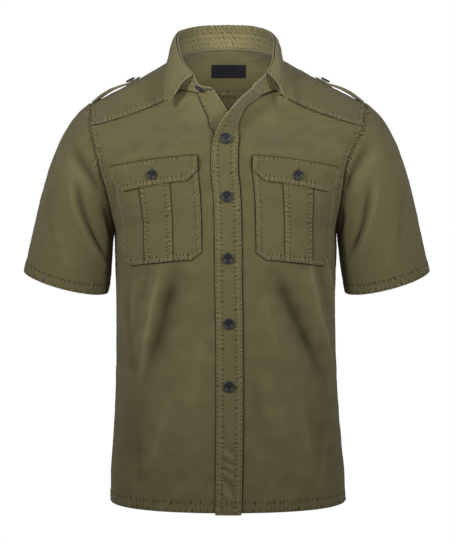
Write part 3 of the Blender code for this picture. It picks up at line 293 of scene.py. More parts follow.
# Lines of the yoke, neck to shoulder or back seam
YokeLine = namedtuple("YokeLine", "line neck arm back_share slope_out slope_y slope_z end_y end_z")
YOKE_LINES = (
    YokeLine(1, 3.1, 5.5, None, 0.92, -0.16, -0.46, 0.02, -0.60),
    YokeLine(2, 4.0, 6.0, None, 0.90, 0.00, -0.43, 0.00, -0.44),
    YokeLine(3, 4.6, 6.5, None, 0.85, 0.25, -0.40, 0.02, -0.55),
    YokeLine(4, 5.2, 7.0, 1.00, 0.70, 0.60, -0.45, 0.15, -0.75),
    YokeLine(5, 5.8, None, 0.72, 0.45, 0.75, -0.60, 0.30, -0.90),
    YokeLine(6, 6.4, None, 0.37, 0.15, 0.75, -0.70, 0.35, -0.95),
    YokeLine(7, 7.0, None, 0.00, 0.00, 0.70, -0.75, 0.30, -0.95),
)
YOKE_AROUND = (0.0, 0.35, 0.7, 1.0, 1.35, 1.6, 1.8, 2.0, 2.2, 2.4, 2.65, 3.0, 3.5, 4.0, 4.5, 5.0, 5.5, 6.0, 6.5, 7.0)
BACK_SHARE_LINES = (4.0, 5.0, 6.0, 7.0)

# Large folds of each panel: a ridge where the height is positive, a trough where it is negative
Fold = namedtuple("Fold", "s0 h0 s1 h1 height width")
FOLDS_LEFT = (
    Fold(0.115, -0.330, 0.150, -0.470, 0.0045, 0.016),
    Fold(0.080, -0.315, 0.125, -0.480, -0.0040, 0.018),
    Fold(0.205, -0.330, 0.175, -0.440, 0.0035, 0.016),
    Fold(0.050, -0.430, 0.085, -0.610, 0.0025, 0.022),
    Fold(0.150, -0.520, 0.185, -0.640, -0.0025, 0.024),
    Fold(0.195, -0.215, 0.165, -0.150, -0.0030, 0.014),
)
FOLDS_RIGHT = (
    Fold(0.125, -0.318, 0.168, -0.440, 0.0045, 0.015),
    Fold(0.075, -0.330, 0.150, -0.460, -0.0045, 0.018),
    Fold(0.175, -0.315, 0.200, -0.380, 0.0035, 0.014),
    Fold(0.040, -0.480, 0.090, -0.600, 0.0025, 0.022),
    Fold(0.150, -0.550, 0.175, -0.650, -0.0025, 0.024),
    Fold(0.190, -0.215, 0.160, -0.150, -0.0030, 0.014),
)
FOLDS_BACK = (
    Fold(-0.110, -0.200, -0.150, -0.420, 0.0040, 0.022),
    Fold(0.115, -0.210, 0.150, -0.400, 0.0040, 0.022),
    Fold(-0.060, -0.300, -0.075, -0.560, -0.0035, 0.026),
    Fold(0.070, -0.280, 0.060, -0.540, -0.0035, 0.026),
    Fold(-0.160, -0.480, -0.120, -0.640, 0.0025, 0.024),
    Fold(0.160, -0.500, 0.130, -0.640, 0.0025, 0.024),
)
GATHERS = 6
GATHER_SPREAD = 0.060
GATHER_HEIGHT = 0.0022
GATHER_LENGTH = 0.090

# Sleeve folds, around in armhole stations and along as a share of the length
SleeveFold = namedtuple("SleeveFold", "turn0 along0 turn1 along1 height width")
SLEEVE_FOLDS = (
    SleeveFold(2.2, 0.05, 4.2, 0.55, 0.0045, 0.34),
    SleeveFold(3.4, 0.04, 5.2, 0.50, -0.0045, 0.36),
    SleeveFold(1.0, 0.15, 3.3, 0.85, -0.0035, 0.34),
    SleeveFold(4.4, 0.10, 6.0, 0.75, 0.0035, 0.34),
    SleeveFold(9.8, 0.05, 7.8, 0.55, 0.0045, 0.36),
    SleeveFold(8.6, 0.06, 6.8, 0.50, -0.0040, 0.36),
    SleeveFold(11.0, 0.20, 8.8, 0.85, -0.0035, 0.36),
)

# Colours from the washed cloth, the buttons and the woven label
OLIVE = (0.146, 0.128, 0.056, 1.0)
CHARCOAL = (0.014, 0.0145, 0.015, 1.0)
BLACK = (0.020, 0.019, 0.019, 1.0)


def ease(t):
    """Smooth step from 0 to 1."""
    t = min(max(t, 0.0), 1.0)
    return t * t * (3.0 - 2.0 * t)


def unit(v):
    return v / max(np.linalg.norm(v), 1e-12)


def through(stations, values, at):
    """Value at a place along a smooth curve through the values at the stations."""
    stations = np.asarray(stations, float)
    values = np.asarray(values, float)
    slopes = np.gradient(values, stations, axis=0)
    i = int(np.clip(np.searchsorted(stations, at) - 1, 0, len(stations) - 2))
    span = stations[i + 1] - stations[i]
    t = (at - stations[i]) / span
    start = (2 * t**3 - 3 * t**2 + 1) * values[i] + (t**3 - 2 * t**2 + t) * span * slopes[i]
    end = (3 * t**2 - 2 * t**3) * values[i + 1] + (t**3 - t**2) * span * slopes[i + 1]
    return start + end


def table_value(rows, key, field, at):
    """A table's column at a place between its rows."""
    return float(through([getattr(r, key) for r in rows], [getattr(r, field) for r in rows], at))


def bezier(p0, p1, p2, p3, count=ROW_POINTS):
    t = np.linspace(0.0, 1.0, count)[:, None]
    u = 1.0 - t
    return u**3 * p0 + 3 * u**2 * t * p1 + 3 * u * t**2 * p2 + t**3 * p3


def arc_lengths(line):
    steps = np.linalg.norm(np.diff(line, axis=0), axis=1)
    return np.concatenate([[0.0], np.cumsum(steps)])


def point_at(line, lengths, s):
    """The point at arc length s, going on straight past the ends."""
    if s < 0.0:
        return line[0] + unit(line[1] - line[0]) * s
    if s > lengths[-1]:
        return line[-1] + unit(line[-1] - line[-2]) * (s - lengths[-1])
    return np.array([np.interp(s, lengths, line[:, k]) for k in range(3)])


def half_width(z):
    return table_value(BODY_WIDTHS, "z", "half_width", max(z, HEM_Z))


def lean(z):
    return table_value(LEANS, "z", "x", min(max(z, HEM_Z), LEANS[-1].z))


def armhole_point(side, station):
    """A point of the armhole seam; station 0 is the underarm, 3 the front, 6 the shoulder, 9 the back."""
    places = [(a.out, a.y, a.z) for a in ARMHOLE]
    wrapped = [places[-2]] + places + [places[1]]
    out, y, z = through(range(-1, len(places) + 1), wrapped, station)
    return np.array([side * out + lean(z), y, z])


def side_end(side, arm, side_z, underarm):
    """The outer end of a body row: on the side seam below the underarm, on the armhole above it."""
    if abs(arm - underarm) < 1e-6:
        return np.array([side * half_width(side_z) + lean(side_z), 0.0, side_z])
    return armhole_point(side, arm)


def collar_rows(side):
    return COLLAR_LEFT if side < 0 else COLLAR_RIGHT


def collar_point(side, field, station):
    rows = collar_rows(side)
    out, y, z = through([c.station for c in rows], [getattr(c, field) for c in rows], station)
    return np.array([side * out, y, z])


def neck_seam_point(side, station):
    """The seam of the collar stand: along the front's top, up to the yoke and round the back."""
    if station >= YOKE_CORNER:
        return collar_point(side, "seam", station)
    end = BAND_EDGE if side < 0 else PLACKET_WIDTH / 2
    if station <= NOTCH:
        return front_base(side, -end + (end + BAND_SEAM) * station, NECK_H)
    start = front_base(side, BAND_SEAM, NECK_H)
    return start + (collar_point(side, "seam", YOKE_CORNER) - start) * (station - NOTCH)


ROW_CACHE = {}


def front_row(side, h):
    """One section of a front, from the centre front to the side, as a line and its arc lengths."""
    key = ("front", side, round(h, 6))
    if key in ROW_CACHE:
        return ROW_CACHE[key]
    rows = FRONT_LEFT if side < 0 else FRONT_RIGHT
    at = {f: table_value(rows, "h", f, h) for f in FrontRow._fields}
    if h <= UNDERARM_H:
        at["arm"] = 0.0
    start = np.array([at["x"] + lean(at["z"]), at["y"], at["z"]])
    end = side_end(side, max(at["arm"], 0.0), at["side_z"], 0.0)
    leave = unit(np.array([side * 1.0, at["slope_y"], at["slope_z"]]))
    turn = math.radians(at["turn"])
    arrive = np.array([side * math.cos(turn), math.sin(turn), 0.0])
    if at["strip"] > 0.001:
        seam = start + leave * at["strip"]
        on = unit(leave * VALLEY_TURN + unit(np.array([side, 0.0, at["on_z"]])))
        curve = bezier(seam, seam + on * at["reach"], end - arrive * at["hold"], end)
        line = np.concatenate([np.linspace(start, seam, 6)[:-1], curve])
    else:
        line = bezier(start, start + leave * at["reach"], end - arrive * at["hold"], end)
    ROW_CACHE[key] = (line, arc_lengths(line))
    return ROW_CACHE[key]


def yoke_front_seam(side):
    """The seam of front and yoke, from the neck to the armhole."""
    key = ("yoke_front", side)
    if key not in ROW_CACHE:
        start = collar_point(side, "seam", YOKE_CORNER)
        end = armhole_point(side, 5.0)
        leave = unit(np.array([side * 1.0, TOP_ROW_START_SLOPE[0], TOP_ROW_START_SLOPE[1]]))
        turn = math.radians(TOP_ROW_TURN)
        arrive = unit(np.array([side * math.cos(turn), math.sin(turn), TOP_ROW_RISE]))
        line = bezier(start, start + leave * TOP_ROW_REACH, end - arrive * TOP_ROW_HOLD, end)
        ROW_CACHE[key] = (line, arc_lengths(line))
    return ROW_CACHE[key]


def folds_lift(folds, s, h):
    """How far the folds lift the cloth at a place of a panel."""
    lift = 0.0
    for f in folds:
        run = np.array([f.s1 - f.s0, f.h1 - f.h0])
        place = np.array([s - f.s0, h - f.h0])
        share = float(np.dot(place, run) / np.dot(run, run))
        near = min(max(share, 0.0), 1.0)
        away = np.linalg.norm(place - near * run)
        taper = ease(2.5 * near + 0.25) * ease(2.5 * (1.0 - near) + 0.1)
        lift += f.height * taper * math.exp(-((away / f.width) ** 2))
    return lift


def front_base(side, s, h):
    """A point of the front before folds; s runs from the centre front, negative past it."""
    if h > NECK_H:
        low, low_lengths = front_row(side, NECK_H)
        top, top_lengths = yoke_front_seam(side)
        share = (s - BAND_SEAM) / (low_lengths[-1] - BAND_SEAM)
        rise = (h - NECK_H) / -NECK_H
        a = point_at(low, low_lengths, s)
        b = point_at(top, top_lengths, share * top_lengths[-1])
        return a + (b - a) * rise
    line, lengths = front_row(side, h)
    p = point_at(line, lengths, s)
    if s < 0.0 and h < V_BOTTOM_H:
        other = point_at(*front_row(-side, h), -s)
        p = other + (p - other) * ease((h - CLOSED_H) / (V_BOTTOM_H - CLOSED_H))
    return p


def front_length(side, h):
    if h > NECK_H:
        return front_row(side, NECK_H)[1][-1]
    return front_row(side, h)[1][-1]


def moved_out(base, a, b, da, db, lift):
    """The base surface's point at (a, b) moved along its normal."""
    p = base(a, b)
    if abs(lift) < 1e-9:
        return p
    along = base(a + da, b) - base(a - da, b)
    up_to = base(a, b + db) if b + db <= 0.0 else p
    up = up_to - base(a, b - db)
    return p + unit(np.cross(along, up)) * lift


def front_point(side, s, h, lift=0.0):
    """A point of a front with its folds, moved out by lift."""
    folds = FOLDS_LEFT if side < 0 else FOLDS_RIGHT
    raised = lift + (folds_lift(folds, s, h) if s > 0.0 else 0.0)
    return moved_out(lambda a, b: front_base(side, a, b), s, h, side * 0.002, 0.002, raised)


def back_row(side, h):
    """One section of the back, from the centre back to the side."""
    key = ("back", side, round(h, 6))
    if key in ROW_CACHE:
        return ROW_CACHE[key]
    at = {f: table_value(BACK, "h", f, h) for f in BackRow._fields}
    if h <= UNDERARM_H:
        at["arm"] = 12.0
    start = np.array([lean(h), at["y"], h])
    end = side_end(side, min(at["arm"], 12.0), at["side_z"], 12.0)
    turn = math.radians(at["turn"])
    arrive = np.array([side * math.cos(turn), -math.sin(turn), 0.0])
    leave = np.array([side * 1.0, 0.0, 0.0])
    line = bezier(start, start + leave * at["reach"], end - arrive * at["hold"], end)
    ROW_CACHE[key] = (line, arc_lengths(line))
    return ROW_CACHE[key]


def back_base(s, h):
    side = -1 if s < 0.0 else 1
    return point_at(*back_row(side, h), abs(s))


def gather_lift(s, h):
    """Small waves where the back is gathered into the yoke."""
    top = BACK[-1].h
    across = abs(s) / GATHER_SPREAD
    if across >= 1.0:
        return 0.0
    fade = ease(1.0 - (top - h) / GATHER_LENGTH) * ease(2.0 * (1.0 - across))
    return GATHER_HEIGHT * fade * math.cos(math.pi * GATHERS * s / GATHER_SPREAD)


def back_point(s, h, lift=0.0):
    top = BACK[-1].h
    raised = lift + folds_lift(FOLDS_BACK, s, h) + gather_lift(s, h) * ease((top - h) / 0.01)
    p = back_base(s, h)
    along = back_base(s + 0.002, h) - back_base(s - 0.002, h)
    up = back_base(s, min(h + 0.002, top)) - back_base(s, h - 0.002)
    return p + unit(np.cross(up, along)) * raised


def yoke_line(side, line):
    """One line of the yoke from the neck seam outwards, as a curve."""
    key = ("yoke", side, round(line, 6))
    if key in ROW_CACHE:
        return ROW_CACHE[key]
    if line <= 0.0:
        return yoke_front_seam(side)
    controls = []
    seam, lengths = yoke_front_seam(side)
    third = lengths[-1] / 3.0
    controls.append((
        seam[0], seam[0] + unit(seam[1] - seam[0]) * third, seam[-1] - unit(seam[-1] - seam[-2]) * third, seam[-1],
    ))
    back_seam = back_row(side, BACK[-1].h)
    for row in YOKE_LINES:
        start = collar_point(side, "seam", row.neck)
        if row.arm is not None:
            end = armhole_point(side, row.arm)
        else:
            end = point_at(*back_seam, row.back_share * back_seam[1][-1])
        third = np.linalg.norm(end - start) / 3.0
        leave = unit(np.array([side * row.slope_out, row.slope_y, row.slope_z]))
        arrive = unit(np.array([side * row.slope_out, row.end_y, row.end_z]))
        controls.append((start, start + leave * third, end - arrive * third, end))
    places = through(range(len(controls)), np.array(controls), line)
    if 4.0 < line < 7.0:
        share = through(BACK_SHARE_LINES, [r.back_share for r in YOKE_LINES[3:]], line)
        places[3] = point_at(*back_seam, share * back_seam[1][-1])
    if line < 4.0:
        neck = [YOKE_CORNER] + [r.neck for r in YOKE_LINES[:4]]
        arm = [5.0] + [r.arm for r in YOKE_LINES[:4]]
        places[0] = collar_point(side, "seam", through(range(5), neck, line))
        places[3] = armhole_point(side, through(range(5), arm, line))
    curve = bezier(*places)
    if line < 1.0:
        curve = seam + (curve - seam) * ease(line)
    ROW_CACHE[key] = (curve, arc_lengths(curve))
    return ROW_CACHE[key]


def yoke_base(side, line, share):
    curve, lengths = yoke_line(side, line)
    return point_at(curve, lengths, share * lengths[-1])


def yoke_point(side, line, share, lift=0.0):
    p = yoke_base(side, line, share)
    if lift == 0.0:
        return p
    out = yoke_base(side, line, share + 0.01) - yoke_base(side, line, share - 0.01)
    round_neck = yoke_base(side, line + 0.04, share) - yoke_base(side, line - 0.04, share)
    return p + side * unit(np.cross(out, round_neck)) * lift


def sleeve_hem_point(side, station):
    """A point of the sleeve's hem ring; station 0 is the inner side, 3 the front, 6 the outer side."""
    angle = math.pi * station / 6.0
    outward = np.array([side * math.cos(SLEEVE_HEM_TILT), 0.0, math.sin(SLEEVE_HEM_TILT)])
    forward = np.array([0.0, -math.cos(SLEEVE_HEM_DROP), -math.sin(SLEEVE_HEM_DROP)])
    centre = np.array([side * SLEEVE_HEM_OUT - 0.0022, 0.0, SLEEVE_HEM_Z])
    return centre + SLEEVE_HEM_RADIUS * (-math.cos(angle) * outward + math.sin(angle) * forward)


def sleeve_line(side, station):
    """One line of the sleeve, armhole to hem."""
    key = ("sleeve", side, round(station % 12.0, 6))
    if key in ROW_CACHE:
        return ROW_CACHE[key]
    station = station % 12.0
    low = 0.5 + 0.5 * math.cos(math.pi * station / 6.0)
    start = armhole_point(side, station)
    start[0] += side * (ARMHOLE_SEAM + UNDERARM_SPACE * low**4)
    end = sleeve_hem_point(side, station)
    fields = ("go_out", "go_y", "go_z", "reach")
    values = [[getattr(a, f) for f in fields] for a in ARMHOLE]
    go = through(range(-1, 14), [values[-2]] + values + [values[1]], station)
    leave = unit(np.array([side * go[0], go[1], go[2]]))
    axis = unit(np.array([
        side * math.sin(SLEEVE_HEM_TILT), math.sin(SLEEVE_HEM_DROP), -math.cos(SLEEVE_HEM_TILT),
    ]))
    distance = np.linalg.norm(end - start)
    line = bezier(start, start + leave * go[3], end - axis * distance * 0.36, end)
    ROW_CACHE[key] = (line, arc_lengths(line))
    return ROW_CACHE[key]


def sleeve_base(side, station, share):
    line, lengths = sleeve_line(side, station)
    return point_at(line, lengths, share * lengths[-1])


def sleeve_lift(station, share):
    lift = 0.0
    for f in SLEEVE_FOLDS:
        run = np.array([f.turn1 - f.turn0, (f.along1 - f.along0) * 5.0])
        place = np.array([station - f.turn0, (share - f.along0) * 5.0])
        near = min(max(float(np.dot(place, run) / np.dot(run, run)), 0.0), 1.0)
        away = np.linalg.norm(place - near * run)
        taper = ease(3.0 * near + 0.3) * ease(3.0 * (1.0 - near))
        lift += f.height * taper * math.exp(-((away / f.width) ** 2))
    return lift * ease(share / 0.08)


def sleeve_point(side, station, share, lift=0.0):
    p = sleeve_base(side, station, share)
    raised = lift + sleeve_lift(station % 12.0, share)
    along = sleeve_base(side, station, share + 0.01) - sleeve_base(side, station, share - 0.01)
    around = sleeve_base(side, station + 0.08, share) - sleeve_base(side, station - 0.08, share)
    return p + side * unit(np.cross(along, around)) * raised


def pulled_in(grid, edges, setback):
    """The grid with the named edges drawn back along the cloth."""
    grid = np.array(grid, float)
    pairs = {
        "first_row": (grid[0], grid[1]),
        "last_row": (grid[-1], grid[-2]),
        "first_column": (grid[:, 0], grid[:, 1]),
        "last_column": (grid[:, -1], grid[:, -2]),
    }
    for name in edges:
        edge, inner = pairs[name]
        step = inner - edge
        edge += step / np.maximum(np.linalg.norm(step, axis=1, keepdims=True), 1e-9) * setback
    return grid


def pocket_columns(side):
    """Arc lengths of the grid lines that the pocket and its flap share with the front."""
    return [POCKET_INNER[side] + c for c in POCKET_COLUMNS]


def front_start(side, h):
    """Where a front begins: beside the band, or under the placket and, in the open neck, beside it."""
    if h >= NECK_H:
        return BAND_SEAM
    if side < 0:
        return BAND_SEAM + SEAM
    open_neck = ease((h - CLOSED_H) / (V_BOTTOM_H - CLOSED_H))
    lapped, beside = BAND_EDGE + SEAM, PLACKET_WIDTH / 2 + PLACKET_OVER + SEAM
    return lapped + (beside - lapped) * open_neck


def pocket_lift(side, s):
    """The pocket's height off the front, with its box pleat raised."""
    middle = POCKET_INNER[side] + POCKET_WIDTH / 2
    inside = PLEAT_WIDTH / 2 - abs(s - middle)
    return GAP + POCKET_CLOTH + PLEAT_RISE * ease(inside / 0.003 + 0.5)


def strap_grid(side, shares, widths, lift):
    """A shoulder strap from the yoke's points, pointed towards the neck."""
    grid = []
    length = yoke_line(side, 2.0)[1][-1]
    tip = 1.0 - STRAP_LENGTH / length
    for share in shares:
        along = STRAP_ROOT - share * (STRAP_ROOT - tip)
        point = min(1.0, (1.0 - share) * STRAP_LENGTH / STRAP_POINT)
        row = []
        for w in widths:
            line = 2.0 + w * STRAP_LINES * (STRAP_TIP_WIDTH + (1.0 - STRAP_TIP_WIDTH) * point)
            rise = STRAP_RISE * math.sin(math.pi * min(share / STRAP_ARCH, 1.0)) * (1.0 - 0.3 * w * w)
            row.append(yoke_point(side, line, along, lift + rise))
        grid.append(row)
    return np.array(grid)


def collar_curve(place, stations):
    """Points of a collar line from one front end round the back to the other."""
    return np.array([place(-1, k) for k in stations] + [place(1, k) for k in stations[-2::-1]])


def fold_point(side, station):
    return collar_point(side, "fold", station)


def edge_point(side, station):
    return collar_point(side, "edge", station)


def stand_outside(along, up):
    """A point of the stand's outer face near its button, on the side of the button band."""
    station = COLLAR_BUTTON_STATION + along / STAND_STATION_LENGTH
    seam = neck_seam_point(-1, station)
    fold = fold_point(-1, station)
    return seam + (fold - seam) * (0.5 + up / STAND_FRONT_HEIGHT)


def yoke_inside(x, z, lift):
    """The point of the yoke's centre back at a sideways place and height, moved in by lift."""
    side = -1 if x < 0.0 else 1
    place = np.array([6.7, 0.4])
    for _ in range(8):
        here = yoke_point(side, *place)[[0, 2]]
        step = 0.01
        by_line = (yoke_point(side, place[0] - step, place[1])[[0, 2]] - here) / -step
        by_share = (yoke_point(side, place[0], place[1] + step)[[0, 2]] - here) / step
        place = place + np.linalg.solve(np.array([by_line, by_share]).T, np.array([x, z]) - here)
        place[0] = min(max(place[0], 5.0), 7.0 - 1e-3)
    return yoke_point(side, place[0], place[1], -lift)


# Creases of each panel: narrow soft ridges and troughs, in the panel's own lengths
Crease = namedtuple("Crease", "s0 h0 s1 h1 height width")
CREASES_LEFT = (
    Crease(0.106, -0.312, 0.154, -0.515, 0.0026, 0.0050),
    Crease(0.078, -0.308, 0.142, -0.505, -0.0022, 0.0110),
    Crease(0.128, -0.306, 0.146, -0.380, -0.0010, 0.0050),
    Crease(0.160, -0.330, 0.168, -0.430, 0.0014, 0.0050),
    Crease(0.176, -0.345, 0.162, -0.490, -0.0013, 0.0070),
    Crease(0.040, -0.420, 0.060, -0.560, 0.0008, 0.0090),
    Crease(0.095, -0.520, 0.130, -0.640, 0.0010, 0.0100),
    Crease(0.155, -0.560, 0.140, -0.685, -0.0010, 0.0090),
    Crease(0.010, -0.139, 0.160, -0.150, 0.0013, 0.0130),
    Crease(0.040, -0.045, 0.036, -0.130, -0.0028, 0.0150),
    Crease(0.120, -0.050, 0.150, -0.120, 0.0012, 0.0080),
    Crease(0.030, -0.120, 0.030, -0.240, -0.0014, 0.0070),
    Crease(0.196, -0.250, 0.176, -0.300, 0.0012, 0.0060),
)
CREASES_RIGHT = (
    Crease(0.132, -0.290, 0.158, -0.412, 0.0022, 0.0045),
    Crease(0.152, -0.385, 0.210, -0.492, 0.0024, 0.0050),
    Crease(0.168, -0.290, 0.218, -0.380, 0.0020, 0.0045),
    Crease(0.070, -0.318, 0.172, -0.510, -0.0024, 0.0110),
    Crease(0.150, -0.300, 0.186, -0.385, -0.0012, 0.0050),
    Crease(0.050, -0.350, 0.085, -0.470, 0.0008, 0.0080),
    Crease(0.035, -0.470, 0.055, -0.590, -0.0010, 0.0090),
    Crease(0.110, -0.520, 0.140, -0.640, 0.0010, 0.0100),
    Crease(0.170, -0.580, 0.150, -0.690, 0.0010, 0.0080),
    Crease(0.034, -0.075, 0.030, -0.140, -0.0026, 0.0100),
    Crease(0.068, -0.050, 0.088, -0.125, -0.0020, 0.0080),
    Crease(0.085, -0.045, 0.105, -0.135, -0.0012, 0.0100),
    Crease(0.120, -0.050, 0.150, -0.130, 0.0013, 0.0100),
    Crease(0.032, -0.150, 0.033, -0.260, -0.0012, 0.0070),
    Crease(0.196, -0.250, 0.176, -0.300, 0.0012, 0.0060),
)
CREASES_BACK = (
    Crease(-0.150, -0.180, -0.110, -0.300, 0.0014, 0.009),
    Crease(0.145, -0.170, 0.105, -0.290, 0.0014, 0.009),
    Crease(-0.120, -0.320, -0.160, -0.460, -0.0013, 0.010),
    Crease(0.110, -0.330, 0.155, -0.450, -0.0013, 0.010),
    Crease(-0.020, -0.200, -0.030, -0.420, 0.0010, 0.012),
    Crease(0.030, -0.240, 0.020, -0.480, -0.0010, 0.012),
    Crease(-0.090, -0.500, -0.060, -0.660, 0.0011, 0.010),
    Crease(0.080, -0.520, 0.110, -0.670, 0.0011, 0.010),
    Crease(0.000, -0.110, 0.000, -0.240, -0.0012, 0.006),
)
SLEEVE_CREASES = {
    -1: (
        SleeveFold(4.9, 0.16, 2.0, 0.045, -0.0050, 0.16),
        SleeveFold(4.8, 0.24, 2.2, 0.130, 0.0035, 0.24),
        SleeveFold(4.2, 0.26, 0.7, 0.680, 0.0050, 0.20),
        SleeveFold(3.7, 0.22, 0.5, 0.570, -0.0055, 0.22),
        SleeveFold(2.0, 0.10, 0.1, 0.150, -0.0040, 0.26),
        SleeveFold(5.2, 0.40, 3.2, 0.800, -0.0016, 0.30),
        SleeveFold(4.6, 0.50, 2.4, 0.900, 0.0016, 0.26),
        SleeveFold(7.2, 0.16, 9.9, 0.050, -0.0045, 0.18),
        SleeveFold(7.9, 0.24, 11.2, 0.640, 0.0045, 0.22),
        SleeveFold(8.4, 0.20, 11.4, 0.540, -0.0045, 0.22),
    ),
    1: (
        SleeveFold(4.7, 0.09, 2.0, 0.035, -0.0050, 0.16),
        SleeveFold(4.6, 0.17, 2.2, 0.115, 0.0035, 0.24),
        SleeveFold(4.1, 0.26, 1.2, 0.680, 0.0050, 0.20),
        SleeveFold(3.5, 0.24, 1.0, 0.560, -0.0055, 0.22),
        SleeveFold(1.6, 0.08, 0.1, 0.160, -0.0040, 0.26),
        SleeveFold(5.0, 0.42, 3.4, 0.820, -0.0016, 0.30),
        SleeveFold(4.4, 0.52, 2.8, 0.880, 0.0014, 0.26),
        SleeveFold(7.3, 0.12, 9.8, 0.045, -0.0045, 0.18),
        SleeveFold(8.0, 0.24, 11.0, 0.620, 0.0045, 0.22),
        SleeveFold(8.5, 0.20, 11.2, 0.520, -0.0045, 0.22),
    ),
}

# Seams: how far the rows lie from the edge, and how the cloth puckers along them
EDGE_ROW = 0.0016
SECOND_ROW = 0.0078
PUCKER_LENGTH = 0.0066
PUCKER_HEIGHT = 0.00072
PUCKER_REACH = 0.0027
FELL_RISE = 0.0007
GROOVE_DEPTH = 0.00028
GROOVE_WIDTH = 0.0009
HEM_ROW = 0.0152
HEM_PUCKER_REACH = 0.0075
ROUGH_HEIGHT = 0.00045

# Stitches
STITCH_STEP = 0.0031
STITCH_LENGTH = 0.0023
STITCH_RADIUS = 0.00030

# Grid steps of the shells
FINE = 0.0022
FINER = 0.0016


def cubic_weights(t):
    """Weights of four neighbours for a smooth curve through a table at share t of its middle step."""
    return np.stack([
        -0.5 * t**3 + t**2 - 0.5 * t,
        1.5 * t**3 - 2.5 * t**2 + 1.0,
        -1.5 * t**3 + 2.0 * t**2 + 0.5 * t,
        0.5 * t**3 - 0.5 * t**2,
    ])


class Surface:
    """A surface of two lengths, tabled once at even steps and read anywhere."""

    def __init__(self, place, a_range, b_range, steps):
        self.low = np.array([a_range[0], b_range[0]])
        self.steps = steps
        self.size = np.array([a_range[1] - a_range[0], b_range[1] - b_range[0]]) / np.array(steps)
        a = self.low[0] + self.size[0] * np.arange(steps[0] + 1)
        b = self.low[1] + self.size[1] * np.arange(steps[1] + 1)
        self.table = np.array([[place(x, y) for y in b] for x in a])

    def at(self, a, b):
        a, b = np.broadcast_arrays(np.asarray(a, float), np.asarray(b, float))
        places = []
        for k, value in enumerate((a, b)):
            x = (value - self.low[k]) / self.size[k]
            i = np.clip(np.floor(x).astype(int), 1, self.steps[k] - 2)
            places.append((i, cubic_weights(x - i)))
        (i, wa), (j, wb) = places
        out = np.zeros(a.shape + (3,))
        for m in range(4):
            for n in range(4):
                out += (wa[m] * wb[n])[..., None] * self.table[i + m - 1, j + n - 1]
        return out


def normals_of(points, sign):
    """Unit normals of a grid of points; sign turns them outwards."""
    down = np.gradient(points, axis=0)
    along = np.gradient(points, axis=1)
    n = np.cross(along, down)
    return sign * n / np.maximum(np.linalg.norm(n, axis=-1, keepdims=True), 1e-12)


def measures(points):
    """Lengths along the cloth of each grid point from the first column, last column, first row and last row."""
    across = np.linalg.norm(np.diff(points, axis=1), axis=-1)
    down = np.linalg.norm(np.diff(points, axis=0), axis=-1)
    left = np.concatenate([np.zeros((len(points), 1)), np.cumsum(across, axis=1)], axis=1)
    top = np.concatenate([np.zeros((1, points.shape[1])), np.cumsum(down, axis=0)], axis=0)
    return left, left[:, -1:] - left, top, top[-1:] - top


def smooth(t):
    t = np.clip(t, 0.0, 1.0)
    return t * t * (3.0 - 2.0 * t)


def fold_field(folds, a, b, b_scale=1.0, ends=(2.5, 0.25, 0.1), sharp=2.0):
    """How far the folds of a table lift the cloth, over whole arrays."""
    lift = np.zeros(np.broadcast(a, b).shape)
    for f in folds:
        a0, b0, a1, b1, height, width = f
        run = np.array([a1 - a0, (b1 - b0) * b_scale])
        da, db = a - a0, (b - b0) * b_scale
        near = np.clip((da * run[0] + db * run[1]) / run.dot(run), 0.0, 1.0)
        away = np.hypot(da - near * run[0], db - near * run[1])
        taper = smooth(ends[0] * near + ends[1]) * smooth(ends[0] * (1.0 - near) + ends[2])
        lift = lift + height * taper * np.exp(-((away / width) ** sharp))
    return lift


def rough(a, b, seed, length=0.030):
    """Uneven low waves of about the given length, from -1 to 1."""
    rng = np.random.default_rng(seed)
    out = 0.0
    for _ in range(9):
        angle, phase, scale = rng.uniform(0, math.pi), rng.uniform(0, 2 * math.pi), rng.uniform(0.6, 1.9)
        out = out + np.sin(2 * math.pi * (a * math.cos(angle) + b * math.sin(angle)) / (length * scale) + phase)
    return out / 9 * 1.8


def pucker(along, away, seed, reach=PUCKER_REACH, length=PUCKER_LENGTH):
    """The gathered look of a seam: short uneven ridges across the row at away = 0, from -1 to 1."""
    drift = 1.1 * np.sin(2 * math.pi * along / 0.037 + seed) + 0.8 * np.sin(2 * math.pi * along / 0.0173 + 2.3 * seed)
    wave = 0.55 - 1.55 * (0.5 - 0.5 * np.sin(2 * math.pi * along / length + drift + 220.0 * away)) ** 2.5
    strength = 0.75 + 0.28 * np.sin(2 * math.pi * along / 0.052 + 3.1 * seed)
    strength = strength + 0.22 * np.sin(2 * math.pi * along / 0.0231 + 5.3 * seed)
    return wave * strength * np.exp(-((away / reach) ** 2))


def groove(away):
    return -GROOVE_DEPTH * np.exp(-((away / GROOVE_WIDTH) ** 2))


